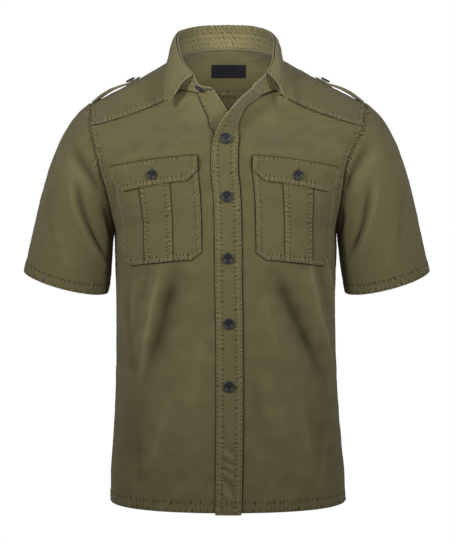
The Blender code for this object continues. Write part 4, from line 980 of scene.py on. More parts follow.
class Relief:
    """Lift, and wear with painted shade and highlights, of one piece, gathered seam by seam."""

    def __init__(self, shape):
        self.lift = np.zeros(shape)
        self.wear_and_shading = np.zeros(shape)

    def seam(self, along, away, rows, seed, height=PUCKER_HEIGHT, reach=PUCKER_REACH, mask=1.0, rim=0.85):
        """Puckered stitch rows at the given distances from an edge: pucker ridges paler as worn, pucker valleys and a
        line along each row darker as painted shade, a rim along the edge that is paler as worn when rim is positive and
        darker when it is negative, and a paler band out to the last row.
        """
        for i, row in enumerate(rows):
            p = pucker(along + 0.0013 * i, away - row, seed + 1.7 * i, reach) * mask
            self.lift += height * p + groove(away - row) * mask
            # Pucker ridges paler as wear; pucker valleys and a line along each row darker as painted shade.
            self.wear_and_shading += 1.05 * p - 0.55 * np.exp(-(((away - row) / 0.0010) ** 2)) * mask
        self.wear_and_shading += rim * np.exp(-((away / 0.0012) ** 2)) * mask
        if len(rows) > 1:
            self.wear_and_shading += 0.24 * smooth((rows[-1] + 0.0015 - away) / 0.0015) * mask

    def step(self, away, width, rise):
        """A doubled edge: the cloth stands higher up to a width from the edge."""
        self.lift += rise * smooth((width - away) / 0.0012 + 0.5)

    def add(self, lift, lift_shading_share=0.0):
        self.lift += lift
        # A share of the lift is painted in: raised cloth paler as painted highlight, sunken cloth darker as painted
        # shade.
        self.wear_and_shading += np.clip(lift * lift_shading_share, -0.5, 0.5)


def shell(name, points, thickness, material, sign, relief, lengths, closed=False):
    """A cloth wall: the grid of outer points, its thickness inwards, with lengths as UVs and wear with painted shade
    and highlights as a value.
    """
    rows, columns = points.shape[:2]
    index = np.arange(rows * columns).reshape(rows, columns)
    right = np.roll(index, -1, axis=1)
    if not closed:
        index_a, right_a = index[:, :-1], right[:, :-1]
    else:
        index_a, right_a = index, right
    quads = np.stack([index_a[:-1], right_a[:-1], right_a[1:], index_a[1:]], axis=-1).reshape(-1, 4)
    if sign < 0:
        quads = quads[:, ::-1]
    mesh = bpy.data.meshes.new(name)
    mesh.vertices.add(rows * columns)
    mesh.vertices.foreach_set("co", points.reshape(-1).astype(np.float32))
    mesh.loops.add(quads.size)
    mesh.loops.foreach_set("vertex_index", quads.reshape(-1).astype(np.int32))
    mesh.polygons.add(len(quads))
    mesh.polygons.foreach_set("loop_start", np.arange(0, quads.size, 4, dtype=np.int32))
    mesh.update(calc_edges=True)
    uv = np.stack([lengths[0], lengths[2]], axis=-1).reshape(-1, 2)
    layer = mesh.uv_layers.new(name="lengths")
    layer.data.foreach_set("uv", uv[quads.reshape(-1)].reshape(-1).astype(np.float32))
    # Wear together with painted shade and highlights, kept per point for the material.
    wear_and_shading = mesh.attributes.new("wear_and_shading", "FLOAT", "POINT")
    wear_and_shading.data.foreach_set("value", np.clip(relief.wear_and_shading, -1.6, 1.2).reshape(-1).astype(np.float32))
    mesh.shade_smooth()
    piece = bpy.data.objects.new(name, mesh)
    bpy.context.scene.collection.objects.link(piece)
    mesh.materials.append(material)
    wall = piece.modifiers.new("Wall", "SOLIDIFY")
    wall.thickness = thickness
    wall.offset = -1.0
    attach(piece, "root")
    return piece


def line_at(points, distance, value, by_column=False):
    """The line of a grid at a distance from an edge: one point for each row, or for each column."""
    if by_column:
        points, distance = points.swapaxes(0, 1), distance.T
    line = []
    for p, d in zip(points, distance):
        order = np.argsort(d)
        if not d[order[0]] <= value <= d[order[-1]]:
            continue
        line.append([np.interp(value, d[order], p[order, k]) for k in range(6)])
    return np.array(line)


class Stitches:
    """Stitches of one piece, joined in one mesh."""

    def __init__(self, name):
        self.name = name
        self.verts = []
        self.faces = []

    def bead(self, a, b, up, radius=STITCH_RADIUS):
        """One stitch from a to b, a low bead that rises from the cloth."""
        along = unit(b - a)
        side = unit(np.cross(along, up))
        out = unit(np.cross(side, along))
        first = len(self.verts)
        for t in (0.25, 0.75):
            middle = a + (b - a) * t + out * radius * 0.7
            self.verts += [middle - side * radius, middle + out * radius, middle + side * radius, middle - out * radius]
        self.verts += [a - out * radius * 0.6, b - out * radius * 0.6]
        start, end = first + 8, first + 9
        for k in range(4):
            n = (k + 1) % 4
            self.faces.append((start, first + n, first + k))
            self.faces.append((first + k, first + n, first + 4 + n, first + 4 + k))
            self.faces.append((end, first + 4 + k, first + 4 + n))

    def row(self, line, step=STITCH_STEP, length=STITCH_LENGTH, radius=STITCH_RADIUS):
        """Stitches along a line of points with normals."""
        if len(line) < 2:
            return
        lengths = arc_lengths(line[:, :3])
        for place in np.arange(step, lengths[-1] - step, step):
            ends = [np.array([np.interp(place + d, lengths, line[:, k]) for k in range(6)]) for d in (0.0, length)]
            self.bead(ends[0][:3], ends[1][:3], unit(ends[0][3:]), radius)

    def finish(self, material):
        mesh = bpy.data.meshes.new(self.name)
        mesh.from_pydata([tuple(v) for v in self.verts], [], self.faces)
        mesh.shade_smooth()
        mesh.materials.append(material)
        piece = bpy.data.objects.new(self.name, mesh)
        bpy.context.scene.collection.objects.link(piece)
        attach(piece, "root")
        return piece


def with_normals(points, normals):
    return np.concatenate([points, normals], axis=-1)


def lifted(base, sign, lift):
    normals = normals_of(base, sign)
    return base + normals * lift[..., None]


def link(tree, a, b):
    tree.links.new(a, b)


def node(tree, kind, **values):
    n = tree.nodes.new(kind)
    for key, value in values.items():
        if key in n.inputs:
            n.inputs[key].default_value = value
        else:
            setattr(n, key, value)
    return n


def mix_colour(tree, factor, a, b, blend="MIX"):
    """A colour mix; factor, a and b are sockets or values."""
    n = node(tree, "ShaderNodeMix", data_type="RGBA", blend_type=blend)
    for socket, value in ((n.inputs[0], factor), (n.inputs[6], a), (n.inputs[7], b)):
        if hasattr(value, "is_linked"):
            link(tree, value, socket)
        else:
            socket.default_value = value
    return n.outputs[2]


def map_range(tree, value, low, high, to_low=0.0, to_high=1.0):
    n = node(tree, "ShaderNodeMapRange")
    link(tree, value, n.inputs[0])
    for k, v in enumerate((low, high, to_low, to_high), start=1):
        n.inputs[k].default_value = v
    return n.outputs[0]


def noise(tree, place, scale, detail=4.0, roughness=0.6):
    n = node(tree, "ShaderNodeTexNoise")
    n.inputs["Scale"].default_value = scale
    n.inputs["Detail"].default_value = detail
    n.inputs["Roughness"].default_value = roughness
    link(tree, place, n.inputs["Vector"])
    return n.outputs["Fac"]


def twill_material(name, dark, middle, light, thread=False):
    """Washed twill: slanted ribs, mottled dye, paler worn seams, painted highlights on fold ridges, painted shade in
    troughs and near-black painted shadow beside overlapping edges.
    """
    material = bpy.data.materials.new(name)
    material.use_nodes = True
    tree = material.node_tree
    shader = tree.nodes["Principled BSDF"]
    place = node(tree, "ShaderNodeTexCoord").outputs["Object"]
    uv = node(tree, "ShaderNodeUVMap", uv_map="lengths").outputs["UV"]
    # Per-point value of wear with painted shade and highlights.
    wear_and_shading = node(tree, "ShaderNodeAttribute", attribute_name="wear_and_shading").outputs["Fac"]
    broad = noise(tree, place, 9.0, 3.0, 0.55)
    cloudy = noise(tree, place, 46.0, 4.0, 0.6)
    grain = noise(tree, place, 620.0, 3.0, 0.7)
    fleck = noise(tree, place, 1500.0, 2.0, 0.6)
    colour = mix_colour(tree, map_range(tree, broad, 0.3, 0.7, 0.0, 0.10), middle, dark)
    colour = mix_colour(tree, map_range(tree, cloudy, 0.35, 0.72, 0.0, 0.12), colour, light)
    colour = mix_colour(tree, map_range(tree, grain, 0.35, 0.65, 0.0, 0.30), colour, dark)
    colour = mix_colour(tree, map_range(tree, fleck, 0.52, 0.75, 0.0, 0.30), colour, light)
    # Positive values: paler worn seams and painted highlights on fold and crease ridges.
    colour = mix_colour(tree, map_range(tree, wear_and_shading, 0.0, 0.9, 0.0, 0.60), colour, light)
    # Negative values: painted shade in troughs, pucker valleys, along stitch rows and beside edges.
    colour = mix_colour(tree, map_range(tree, wear_and_shading, 0.0, -0.75, 0.0, 0.80), colour, dark)
    # Below -0.7: near-black painted shadow beside the placket, band, pockets, pleats and under the yoke's edge.
    colour = mix_colour(tree, map_range(tree, wear_and_shading, -0.7, -1.5, 0.0, 0.85), colour, SHADE)
    link(tree, colour, shader.inputs["Base Color"])
    link(tree, map_range(tree, grain, 0.3, 0.7, 0.86, 0.97), shader.inputs["Roughness"])
    ribs = node(tree, "ShaderNodeTexWave", wave_type="BANDS", bands_direction="DIAGONAL", wave_profile="SIN")
    ribs.inputs["Scale"].default_value = 520.0
    ribs.inputs["Distortion"].default_value = 0.8
    ribs.inputs["Detail"].default_value = 1.0
    link(tree, uv, ribs.inputs["Vector"])
    height = node(tree, "ShaderNodeMath", operation="MULTIPLY_ADD")
    link(tree, ribs.outputs["Fac"], height.inputs[0])
    height.inputs[1].default_value = 0.6
    link(tree, grain, height.inputs[2])
    bump = node(tree, "ShaderNodeBump")
    bump.inputs["Strength"].default_value = 0.5
    bump.inputs["Distance"].default_value = 0.00022
    link(tree, height.outputs[0], bump.inputs["Height"])
    link(tree, bump.outputs["Normal"], shader.inputs["Normal"])
    shader.inputs["Specular IOR Level"].default_value = 0.18
    shader.inputs["Sheen Weight"].default_value = 0.12
    shader.inputs["Sheen Roughness"].default_value = 0.55
    material.diffuse_color = middle
    return material


def plain_material(name, first, second, scale, roughness, bump_distance, specular=0.5):
    """A finish of two close colours under a fine noise, with a low bump."""
    material = bpy.data.materials.new(name)
    material.use_nodes = True
    tree = material.node_tree
    shader = tree.nodes["Principled BSDF"]
    place = node(tree, "ShaderNodeTexCoord").outputs["Object"]
    fine = noise(tree, place, scale, 4.0, 0.6)
    broad = noise(tree, place, scale / 9.0, 2.0, 0.5)
    colour = mix_colour(tree, map_range(tree, fine, 0.35, 0.65), first, second)
    colour = mix_colour(tree, map_range(tree, broad, 0.4, 0.7, 0.0, 0.4), colour, second)
    link(tree, colour, shader.inputs["Base Color"])
    link(tree, map_range(tree, broad, 0.3, 0.7, roughness - 0.08, roughness + 0.08), shader.inputs["Roughness"])
    bump = node(tree, "ShaderNodeBump")
    bump.inputs["Strength"].default_value = 0.4
    bump.inputs["Distance"].default_value = bump_distance
    link(tree, fine, bump.inputs["Height"])
    link(tree, bump.outputs["Normal"], shader.inputs["Normal"])
    shader.inputs["Specular IOR Level"].default_value = specular
    material.diffuse_color = first
    return material


def label_material():
    """A black woven label with fine cross ribs."""
    material = plain_material("woven_label", LABEL_BLACK, LABEL_GREY, 900.0, 0.8, 0.0001, 0.2)
    tree = material.node_tree
    shader = tree.nodes["Principled BSDF"]
    uv = node(tree, "ShaderNodeUVMap", uv_map="lengths").outputs["UV"]
    ribs = node(tree, "ShaderNodeTexWave", wave_type="BANDS", bands_direction="Y")
    ribs.inputs["Scale"].default_value = 600.0
    link(tree, uv, ribs.inputs["Vector"])
    bump = node(tree, "ShaderNodeBump")
    bump.inputs["Strength"].default_value = 0.5
    bump.inputs["Distance"].default_value = 0.0002
    link(tree, ribs.outputs["Fac"], bump.inputs["Height"])
    link(tree, bump.outputs["Normal"], shader.inputs["Normal"])
    return material


def steps(low, high, size):
    return np.linspace(low, high, max(int(round((high - low) / size)), 2) + 1)


def grid_of(a, b):
    return np.meshgrid(a, b, indexing="ij")


FRONT_FOLDS = {-1: FOLDS_LEFT, 1: FOLDS_RIGHT}
FRONT_CREASES = {-1: CREASES_LEFT, 1: CREASES_RIGHT}
TAGS = {-1: "left", 1: "right"}


def hem(relief, along, away, seed):
    """A turned hem: a thicker band with one stitch row and short puckers inside it."""
    relief.seam(along, away, (0.0030,), seed, height=0.00035, reach=0.0045)
    relief.seam(along, away, (HEM_ROW,), seed + 0.6, height=0.00045, reach=0.0034, rim=0.0)
    relief.step(away, HEM_ROW + 0.0008, 0.0006)
    # Painted shade along the hem band's upper edge.
    relief.wear_and_shading -= 0.3 * np.exp(-(((away - HEM_ROW - 0.0012) / 0.0012) ** 2))


def front_surface(side):
    surface = Surface(lambda s, h: front_base(side, s, h), (-0.030, 0.260), (HEM_Z - 0.010, 0.010), (58, 144))
    h = surface.low[1] + surface.size[1] * np.arange(145)
    s = surface.low[0] + surface.size[0] * np.arange(59)
    share = smooth((s - 0.05) / 0.03)[:, None] * (smooth((h + 0.34) / 0.03) * smooth((-0.18 - h) / 0.02))[None]
    for _ in range(10):
        mean = surface.table.copy()
        mean[:, 1:-1] = (surface.table[:, :-2] + 2.0 * surface.table[:, 1:-1] + surface.table[:, 2:]) / 4.0
        surface.table += share[..., None] * (mean - surface.table)
    return surface


def front_relief(side, s, h):
    """The lift of a front's folds, creases and unevenness."""
    lift = fold_field(FRONT_FOLDS[side], s, h)
    lift = lift + 1.3 * fold_field(FRONT_CREASES[side], s, h, sharp=1.5) + ROUGH_HEIGHT * rough(s, h, 11 + side)
    return lift * smooth((s - 0.004) / 0.024)


def place_on(surface, side, s, h, lift):
    """Points of a front at a lift over its folds, and their normals."""
    e = 0.001
    along = surface.at(s + e, h) - surface.at(s - e, h)
    up = surface.at(s, h + e) - surface.at(s, h - e)
    n = side * np.cross(along, up)
    n = n / np.maximum(np.linalg.norm(n, axis=-1, keepdims=True), 1e-12)
    return surface.at(s, h) + n * (lift + front_relief(side, s, h))[..., None], n


def pocket_distance(side, s, h):
    """How far a place of the front lies outside the pocket and its flap."""
    inner, outer = POCKET_INNER[side], POCKET_INNER[side] + POCKET_WIDTH
    across = np.maximum(np.maximum(inner - s, s - outer), 0.0)
    below = np.maximum(POCKET_BOTTOM_H - h, h - FLAP_TOP_H)
    corner = POCKET_CORNER * 0.72 - (h - POCKET_BOTTOM_H) - np.minimum(s - inner, outer - s) * 0.72
    return np.hypot(across, np.maximum(np.maximum(below, corner), 0.0))


def make_front(side, surface, cloth, thread):
    h = np.concatenate([steps(HEM_Z, V_BOTTOM_H, FINE * 1.1), steps(V_BOTTOM_H, 0.0, FINE)[1:]])
    share = np.concatenate([steps(0.0, 0.94, FINE / 0.20), steps(0.94, 1.0, 0.0012 / 0.20)[1:]])
    lengths = np.array([front_length(side, x) for x in h])
    first = np.array([front_start(side, x) for x in h])
    s = first[:, None] + (lengths - first)[:, None] * share[None]
    hh = np.broadcast_to(h[:, None], s.shape)
    base = surface.at(s, hh)
    left, right, low, high = lens = measures(base)
    relief = Relief(s.shape)
    relief.add(front_relief(side, s, hh))
    relief.step(right, 0.0095, FELL_RISE)
    relief.seam(low, right, (EDGE_ROW, 0.0090), 1.0 + side, mask=1.0)
    hem(relief, left, low, 4.0 + side)
    # Painted highlights on crease and fold ridges and painted shade in their troughs.
    relief.wear_and_shading += 260.0 * fold_field(FRONT_CREASES[side], s, hh, sharp=1.5) * (hh < -0.3)
    relief.wear_and_shading += 55.0 * fold_field(FRONT_FOLDS[side], s, hh)
    relief.seam(left, high, (0.0035,), 7.0 + side, height=PUCKER_HEIGHT * 0.8)
    # Painted shadow under the yoke's edge along the top.
    relief.wear_and_shading -= 1.6 * np.exp(-((high / 0.0026) ** 2))
    # Painted shadow beside the placket, and on the other front beside the button band.
    edge = PLACKET_WIDTH / 2 + PLACKET_OVER if side > 0 else BAND_SEAM
    relief.wear_and_shading -= 1.6 * np.exp(-((np.maximum(s - edge, 0.0) / 0.0024) ** 2))
    # Painted shadow round the pocket and its flap.
    relief.wear_and_shading -= 1.4 * np.exp(-((pocket_distance(side, s, hh) / 0.0020) ** 2))
    relief.wear_and_shading += 0.12 * rough(s, hh, 21 + side, 0.05)
    points = place_on(surface, side, s, hh, relief.lift - front_relief(side, s, hh))[0]
    piece = shell("front_panel_" + TAGS[side], points, CLOTH, cloth, side, relief, lens)
    stitches = Stitches("front_stitches_" + TAGS[side])
    lines = with_normals(points, normals_of(points, side))
    for row in (EDGE_ROW, 0.0090):
        stitches.row(line_at(lines, right, row))
    stitches.row(line_at(lines, low, HEM_ROW, True))
    made = stitches.finish(thread)
    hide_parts("front_" + TAGS[side])
    return piece


def make_back(cloth, thread):
    top = BACK[-1].h
    surface = Surface(back_base, (-0.260, 0.260), (HEM_Z - 0.010, top + 0.010), (104, 134))
    h = steps(HEM_Z, top, FINE * 1.4)
    lengths = np.array([back_row(1, x)[1][-1] for x in h])
    s = lengths[:, None] * steps(-1.0, 1.0, FINE * 1.4 / 0.22)[None]
    hh = np.broadcast_to(h[:, None], s.shape)
    base = surface.at(s, hh)
    left, right, low, high = lens = measures(base)
    across = np.abs(s) / GATHER_SPREAD
    gathers = np.cos(math.pi * GATHERS * s / GATHER_SPREAD + 1.1 * np.sin(41.0 * s)) * smooth(2.0 * (1.0 - across))
    gathers *= 0.7 + 0.4 * np.sin(67.0 * s + 0.6)
    gathers *= smooth(1.0 - (top - hh) / GATHER_LENGTH) * smooth((top - hh) / 0.01)
    relief = Relief(s.shape)
    relief.add(fold_field(FOLDS_BACK, s, hh) + fold_field(CREASES_BACK, s, hh, sharp=1.5))
    relief.add(GATHER_HEIGHT * gathers + ROUGH_HEIGHT * rough(s, hh, 31))
    for i, edge in enumerate((left, right)):
        relief.step(edge, 0.0095, FELL_RISE)
        relief.seam(low, edge, (EDGE_ROW, 0.0090), 2.0 + 3 * i)
    hem(relief, left, low, 9.0)
    # Painted highlights on crease ridges and painted shade in their troughs.
    relief.wear_and_shading += 200.0 * fold_field(CREASES_BACK, s, hh, sharp=1.5)
    # Its darker rim is painted shadow under the yoke's edge.
    relief.seam(left, high, (0.0035,), 7.0, rim=-0.5)
    points = lifted(base, -1, relief.lift)
    piece = shell("back_panel", points, CLOTH, cloth, -1, relief, lens)
    stitches = Stitches("back_stitches")
    lines = with_normals(points, normals_of(points, -1))
    for edge in (left, right):
        for row in (EDGE_ROW, 0.0090):
            stitches.row(line_at(lines, edge, row))
    stitches.row(line_at(lines, low, HEM_ROW, True))
    made = stitches.finish(thread)
    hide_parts("back")


def make_yoke(cloth, thread):
    def place(turn, share):
        return yoke_base(-1, turn, share) if turn <= 7.0 else yoke_base(1, 14.0 - turn, share)

    surface = Surface(place, (-0.5, 14.5), (-0.05, 1.05), (120, 44))
    turn, share = grid_of(steps(0.0, 14.0, 0.062), steps(0.0, 1.0, 0.0125))
    base = surface.at(turn, share)
    left, right, low, high = lens = measures(base)
    relief = Relief(turn.shape)
    relief.add(ROUGH_HEIGHT * rough(left, low, 41))
    folds = ((1.2, 0.1, 0.9, 0.8, 0.0012, 0.16), (12.7, 0.1, 13.1, 0.8, 0.0014, 0.16), (2.9, 0.1, 3.4, 0.7, 0.0010, 0.2),
             (11.2, 0.1, 10.6, 0.7, -0.0010, 0.2))
    relief.add(fold_field(folds, turn, share, 4.0))
    for i, edge in enumerate((low, high)):
        relief.step(edge, 0.0085, 0.0006)
        relief.seam(left, edge, (EDGE_ROW, SECOND_ROW), 12.0 + 5 * i)
    relief.seam(low, right, (EDGE_ROW, SECOND_ROW), 15.0, rim=-0.3)
    relief.step(right, 0.0095, 0.0005)
    relief.seam(low, left, (0.003,), 17.0, height=0.0003)
    points = lifted(base, -1, relief.lift)
    piece = shell("yoke_panel", points, CLOTH, cloth, -1, relief, lens)
    stitches = Stitches("yoke_stitches")
    lines = with_normals(points, normals_of(points, -1))
    for row in (EDGE_ROW, SECOND_ROW):
        stitches.row(line_at(lines, low, row, True))
        stitches.row(line_at(lines, high, row, True))
        stitches.row(line_at(lines, right, row))
    made = stitches.finish(thread)
    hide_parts("yoke")


def make_sleeve(side, cloth, thread):
    surface = Surface(lambda q, t: sleeve_base(side, q, t), (-1.0, 13.0), (-0.06, 1.06), (84, 40))
    count = 190
    share, station = grid_of(steps(0.0, 1.0, 0.0105), 12.0 * np.arange(count) / count)
    base = surface.at(station, share)
    left, right, low, high = lens = measures(base)
    e = 0.01
    n = np.cross(surface.at(station, share + e) - surface.at(station, share - e),
                 surface.at(station + e, share) - surface.at(station - e, share))
    n = side * n / np.linalg.norm(n, axis=-1, keepdims=True)
    relief = Relief(station.shape)
    folds = fold_field(SLEEVE_CREASES[side], station, share, 5.0, sharp=1.7) * smooth(share / 0.05)
    relief.add(folds)
    # Painted highlights on fold ridges and painted shade in their troughs.
    relief.wear_and_shading += np.clip(130.0 * folds, -0.75, 0.25)
    turn = 2 * math.pi * station / 12.0
    relief.add(ROUGH_HEIGHT * rough(0.075 * np.cos(turn), 0.075 * np.sin(turn) + low, 51 + side))
    relief.seam(left, low, (0.0025,), 22.0 + side, height=0.0005, reach=0.006)
    # Painted shade along the armhole seam.
    relief.wear_and_shading -= 0.5 * np.exp(-((low / 0.003) ** 2))
    hem(relief, left, high, 25.0 + side)
    points = base + n * relief.lift[..., None]
    tag = TAGS[side]
    piece = shell("sleeve_cloth_" + tag, points, CLOTH, cloth, side, relief, lens, closed=True)
    stitches = Stitches("sleeve_stitches_" + tag)
    stitches.row(line_at(with_normals(points, n), high, HEM_ROW, True))
    made = stitches.finish(thread)
    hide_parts("sleeve_" + tag)


def make_band(surface, cloth, thread):
    h, s = grid_of(steps(HEM_Z, NECK_H - SEAM, FINE), steps(-BAND_EDGE, BAND_SEAM, 0.0017))
    base, _ = place_on(surface, -1, s, h, 0.0)
    left, right, low, high = lens = measures(base)
    relief = Relief(s.shape)
    for i, edge in enumerate((left, right)):
        relief.seam(low, edge, (EDGE_ROW,), 31.0 + 3 * i, height=0.0003, reach=0.003)
    points, n = place_on(surface, -1, s, h, relief.lift)
    piece = shell("button_band_strip", points, CLOTH, cloth, -1, relief, lens)
    stitches = Stitches("band_stitches")
    for edge in (left, right):
        stitches.row(line_at(with_normals(points, n), edge, EDGE_ROW))
    made = stitches.finish(thread)
    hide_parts("button_band")


def make_placket(surface, cloth, thread):
    half = PLACKET_WIDTH / 2
    h, s = grid_of(steps(HEM_Z, NECK_H - SEAM, 0.0017), steps(-half, half + PLACKET_OVER, 0.00125))
    lift = GAP + PLACKET_CLOTH
    base, _ = place_on(surface, 1, s, h, lift)
    left, right, low, high = lens = measures(base)
    relief = Relief(s.shape)
    for i, edge in enumerate((left, right)):
        relief.seam(low, edge, (EDGE_ROW, 0.0094), 33.0 + 4 * i, height=0.00058)
    middle = np.exp(-((s / 0.006) ** 2))
    relief.lift += 0.0004 * middle
    relief.wear_and_shading += 0.10 * middle
    relief.seam(left, low, (0.0148,), 37.0, height=0.0004)
    wrinkles = np.sin(2 * math.pi * (h + 0.7 * s) / 0.021 + 2.0 * np.sin(90.0 * h))
    wrinkles = wrinkles * smooth((h + 0.690) / 0.02) * smooth((-0.585 - h) / 0.02) * smooth((0.0100 - np.abs(s)) / 0.004)
    relief.lift += 0.0007 * wrinkles
    # Painted highlights on wrinkle ridges and painted shade in their valleys.
    relief.wear_and_shading += 0.35 * wrinkles
    drop = PLACKET_DROP * smooth(1.0 - low / 0.016)
    points, n = place_on(surface, 1, s, h, lift + relief.lift)
    points[..., 2] -= drop
    piece = shell("placket_strip", points, PLACKET_CLOTH, cloth, 1, relief, lens)
    stitches = Stitches("placket_stitches")
    lines = with_normals(points, n)
    for edge in (left, right):
        for row in (EDGE_ROW, 0.0094):
            stitches.row(line_at(lines, edge, row), 0.0026, 0.0019)
    for place in FRONT_BUTTONS:
        buttonhole(stitches, lambda a, b: place_on(surface, 1, np.array(a), np.array(place + b), lift + 0.0005))
    made = stitches.finish(thread)
    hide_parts("placket")


def buttonhole(stitches, place, half=0.0105, width=0.0016):
    """Close zigzag stitches on both sides of a slit, which runs along the second length."""
    for b in np.arange(-half, half, 0.0006):
        for k in (-1, 1):
            (p, n), (q, _) = place(k * 0.0003, b), place(k * width, b + 0.0003)
            stitches.bead(p, q, n, 0.00022)


def make_pocket(side, surface, cloth, thread):
    inner, outer = POCKET_INNER[side], POCKET_INNER[side] + POCKET_WIDTH
    s1 = steps(inner, outer, 0.00145)
    share = steps(0.0, 1.0, 0.0105)
    corner = np.clip(1.0 - np.minimum(s1 - inner, outer - s1) / POCKET_CORNER, 0.0, 1.0)
    bottom = POCKET_BOTTOM_H + POCKET_CORNER * 0.72 * corner
    s = np.broadcast_to(s1[None], (len(share), len(s1)))
    h = bottom[None] + share[:, None] * (POCKET_TOP_H - bottom)[None]
    middle = inner + POCKET_WIDTH / 2
    inside = PLEAT_WIDTH / 2 - np.abs(s - middle)
    lift = GAP + POCKET_CLOTH + PLEAT_RISE * smooth(inside / 0.0016 + 0.5)
    base, _ = place_on(surface, side, s, h, lift)
    left, right, low, high = lens = measures(base)
    rim = np.minimum(np.minimum(left, right), low)
    along = np.where(rim == low, left, low)
    relief = Relief(s.shape)
    relief.seam(along, rim, (EDGE_ROW, SECOND_ROW), 43.0 + side, height=0.00058, mask=smooth(high / 0.003))
    relief.step(rim, 0.0088, 0.0005)
    on_pleat = smooth(inside / 0.001 + 0.5)
    for k, sign in enumerate((-1, 1)):
        edge = PLEAT_WIDTH / 2 - sign * (s - middle)
        relief.seam(low, np.where(edge > 0, edge, 1.0), (0.0015, 0.0062), 46.0 + k, height=0.0004, mask=on_pleat)
        # Painted shadow just outside each pleat fold.
        relief.wear_and_shading -= 1.2 * np.exp(-(((edge + 0.0018) / 0.0012) ** 2))
    relief.lift += 0.0010 * np.exp(-(((low - 0.006) / 0.004) ** 2)) * pucker(left, 0.0 * low, 48.0, length=0.015)
    relief.add(0.0004 * rough(s, h, 61 + side, 0.022))
    points, n = place_on(surface, side, s, h, lift + relief.lift)
    tag = TAGS[side]
    piece = shell("patch_pocket_" + tag, points, POCKET_CLOTH, cloth, side, relief, lens)
    lines = with_normals(points, n)
    stitches = Stitches("pocket_stitches_" + tag)
    for row in (EDGE_ROW, SECOND_ROW):
        for edge, by_column in ((left, False), (right, False), (low, True)):
            stitches.row(line_at(lines, edge, row, by_column))
    for sign in (-1, 1):
        stitches.row(line_at(lines, s - middle + 1.0, 1.0 + sign * (PLEAT_WIDTH / 2 - 0.0055)))
    made = stitches.finish(thread)
    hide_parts("pocket_" + tag)


def make_flap(side, surface, cloth, thread):
    inner, outer = POCKET_INNER[side], POCKET_INNER[side] + POCKET_WIDTH
    s1 = steps(inner, outer, 0.00145)
    share = steps(0.0, 1.0, 0.038)
    corner = np.clip(np.minimum(s1 - inner, outer - s1) / FLAP_CORNER, 0.0, 1.0)
    depth = FLAP_DEPTH * (0.55 + 0.45 * corner)
    s = np.broadcast_to(s1[None], (len(share), len(s1)))
    h = FLAP_TOP_H - share[:, None] * depth[None]
    lift = GAP + FLAP_CLOTH + (PLEAT_RISE + POCKET_CLOTH + 2 * GAP) * smooth(share / FLAP_SHARES[1])[:, None]
    lift = lift + 0.0 * s
    base, _ = place_on(surface, side, s, h, lift)
    left, right, high, low = measures(base)
    lens = (left, right, high, low)
    rim = np.minimum(np.minimum(left, right), low)
    along = np.where(rim == low, left, low)
    relief = Relief(s.shape)
    relief.seam(along, rim, (EDGE_ROW, SECOND_ROW), 53.0 + side, height=0.0005)
    relief.step(rim, 0.0088, 0.0003)
    relief.seam(left, high, (0.0018,), 55.0 + side, height=0.0005)
    creases = ((0.30, 0.2, 0.42, 0.9, 0.0010, 0.05), (0.62, 0.15, 0.56, 0.8, -0.0008, 0.05), (0.85, 0.1, 0.74, 0.7, 0.0009, 0.05))
    relief.add(fold_field(creases, (s - inner) / POCKET_WIDTH, share[:, None] + 0.0 * s, 0.3))
    relief.add(0.00035 * rough(s, h, 71 + side, 0.02))
    points, n = place_on(surface, side, s, h, lift + relief.lift)
    tag = TAGS[side]
    piece = shell("pocket_flap_" + tag, points, FLAP_CLOTH, cloth, -side, relief, lens)
    lines = with_normals(points, n)
    stitches = Stitches("flap_stitches_" + tag)
    for row in (EDGE_ROW, SECOND_ROW):
        for edge, by_column in ((left, False), (right, False), (low, True), (high, True)):
            stitches.row(line_at(lines, edge, row, by_column))
    middle = inner + POCKET_WIDTH / 2
    top = GAP + FLAP_CLOTH + PLEAT_RISE + POCKET_CLOTH + 2 * GAP + 0.0004
    buttonhole(stitches, lambda a, b: place_on(
        surface, side, np.array(middle + a), np.array(FLAP_TOP_H - FLAP_BUTTON_DROP + b), top))
    made = stitches.finish(thread)
    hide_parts("flap_" + tag)


def make_strap(side, cloth, thread):
    shares, widths = steps(0.0, 1.0, 0.021), steps(-1.0, 1.0, 0.055)
    base = strap_grid(side, shares, widths, STRAP_LIFT)
    left, right, low, high = lens = measures(base)
    rim = np.minimum(np.minimum(left, right), high)
    relief = Relief(left.shape)
    relief.seam(low, rim, (EDGE_ROW, 0.0068), 63.0 + side, height=0.00045)
    relief.add(0.0003 * rough(left, low, 81 + side, 0.02))
    points = lifted(base, side, relief.lift)
    tag = TAGS[side]
    piece = shell("shoulder_strap_" + tag, points, STRAP_CLOTH, cloth, side, relief, lens)
    stitches = Stitches("strap_stitches_" + tag)
    lines = with_normals(points, normals_of(points, side))
    for row in (EDGE_ROW, 0.0068):
        for edge in (left, right):
            stitches.row(line_at(lines, edge, row))
    made = stitches.finish(thread)
    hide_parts("epaulette_" + tag)


def collar_side(place, turn):
    return place(-1, turn) if turn <= 7.0 else place(1, 14.0 - turn)


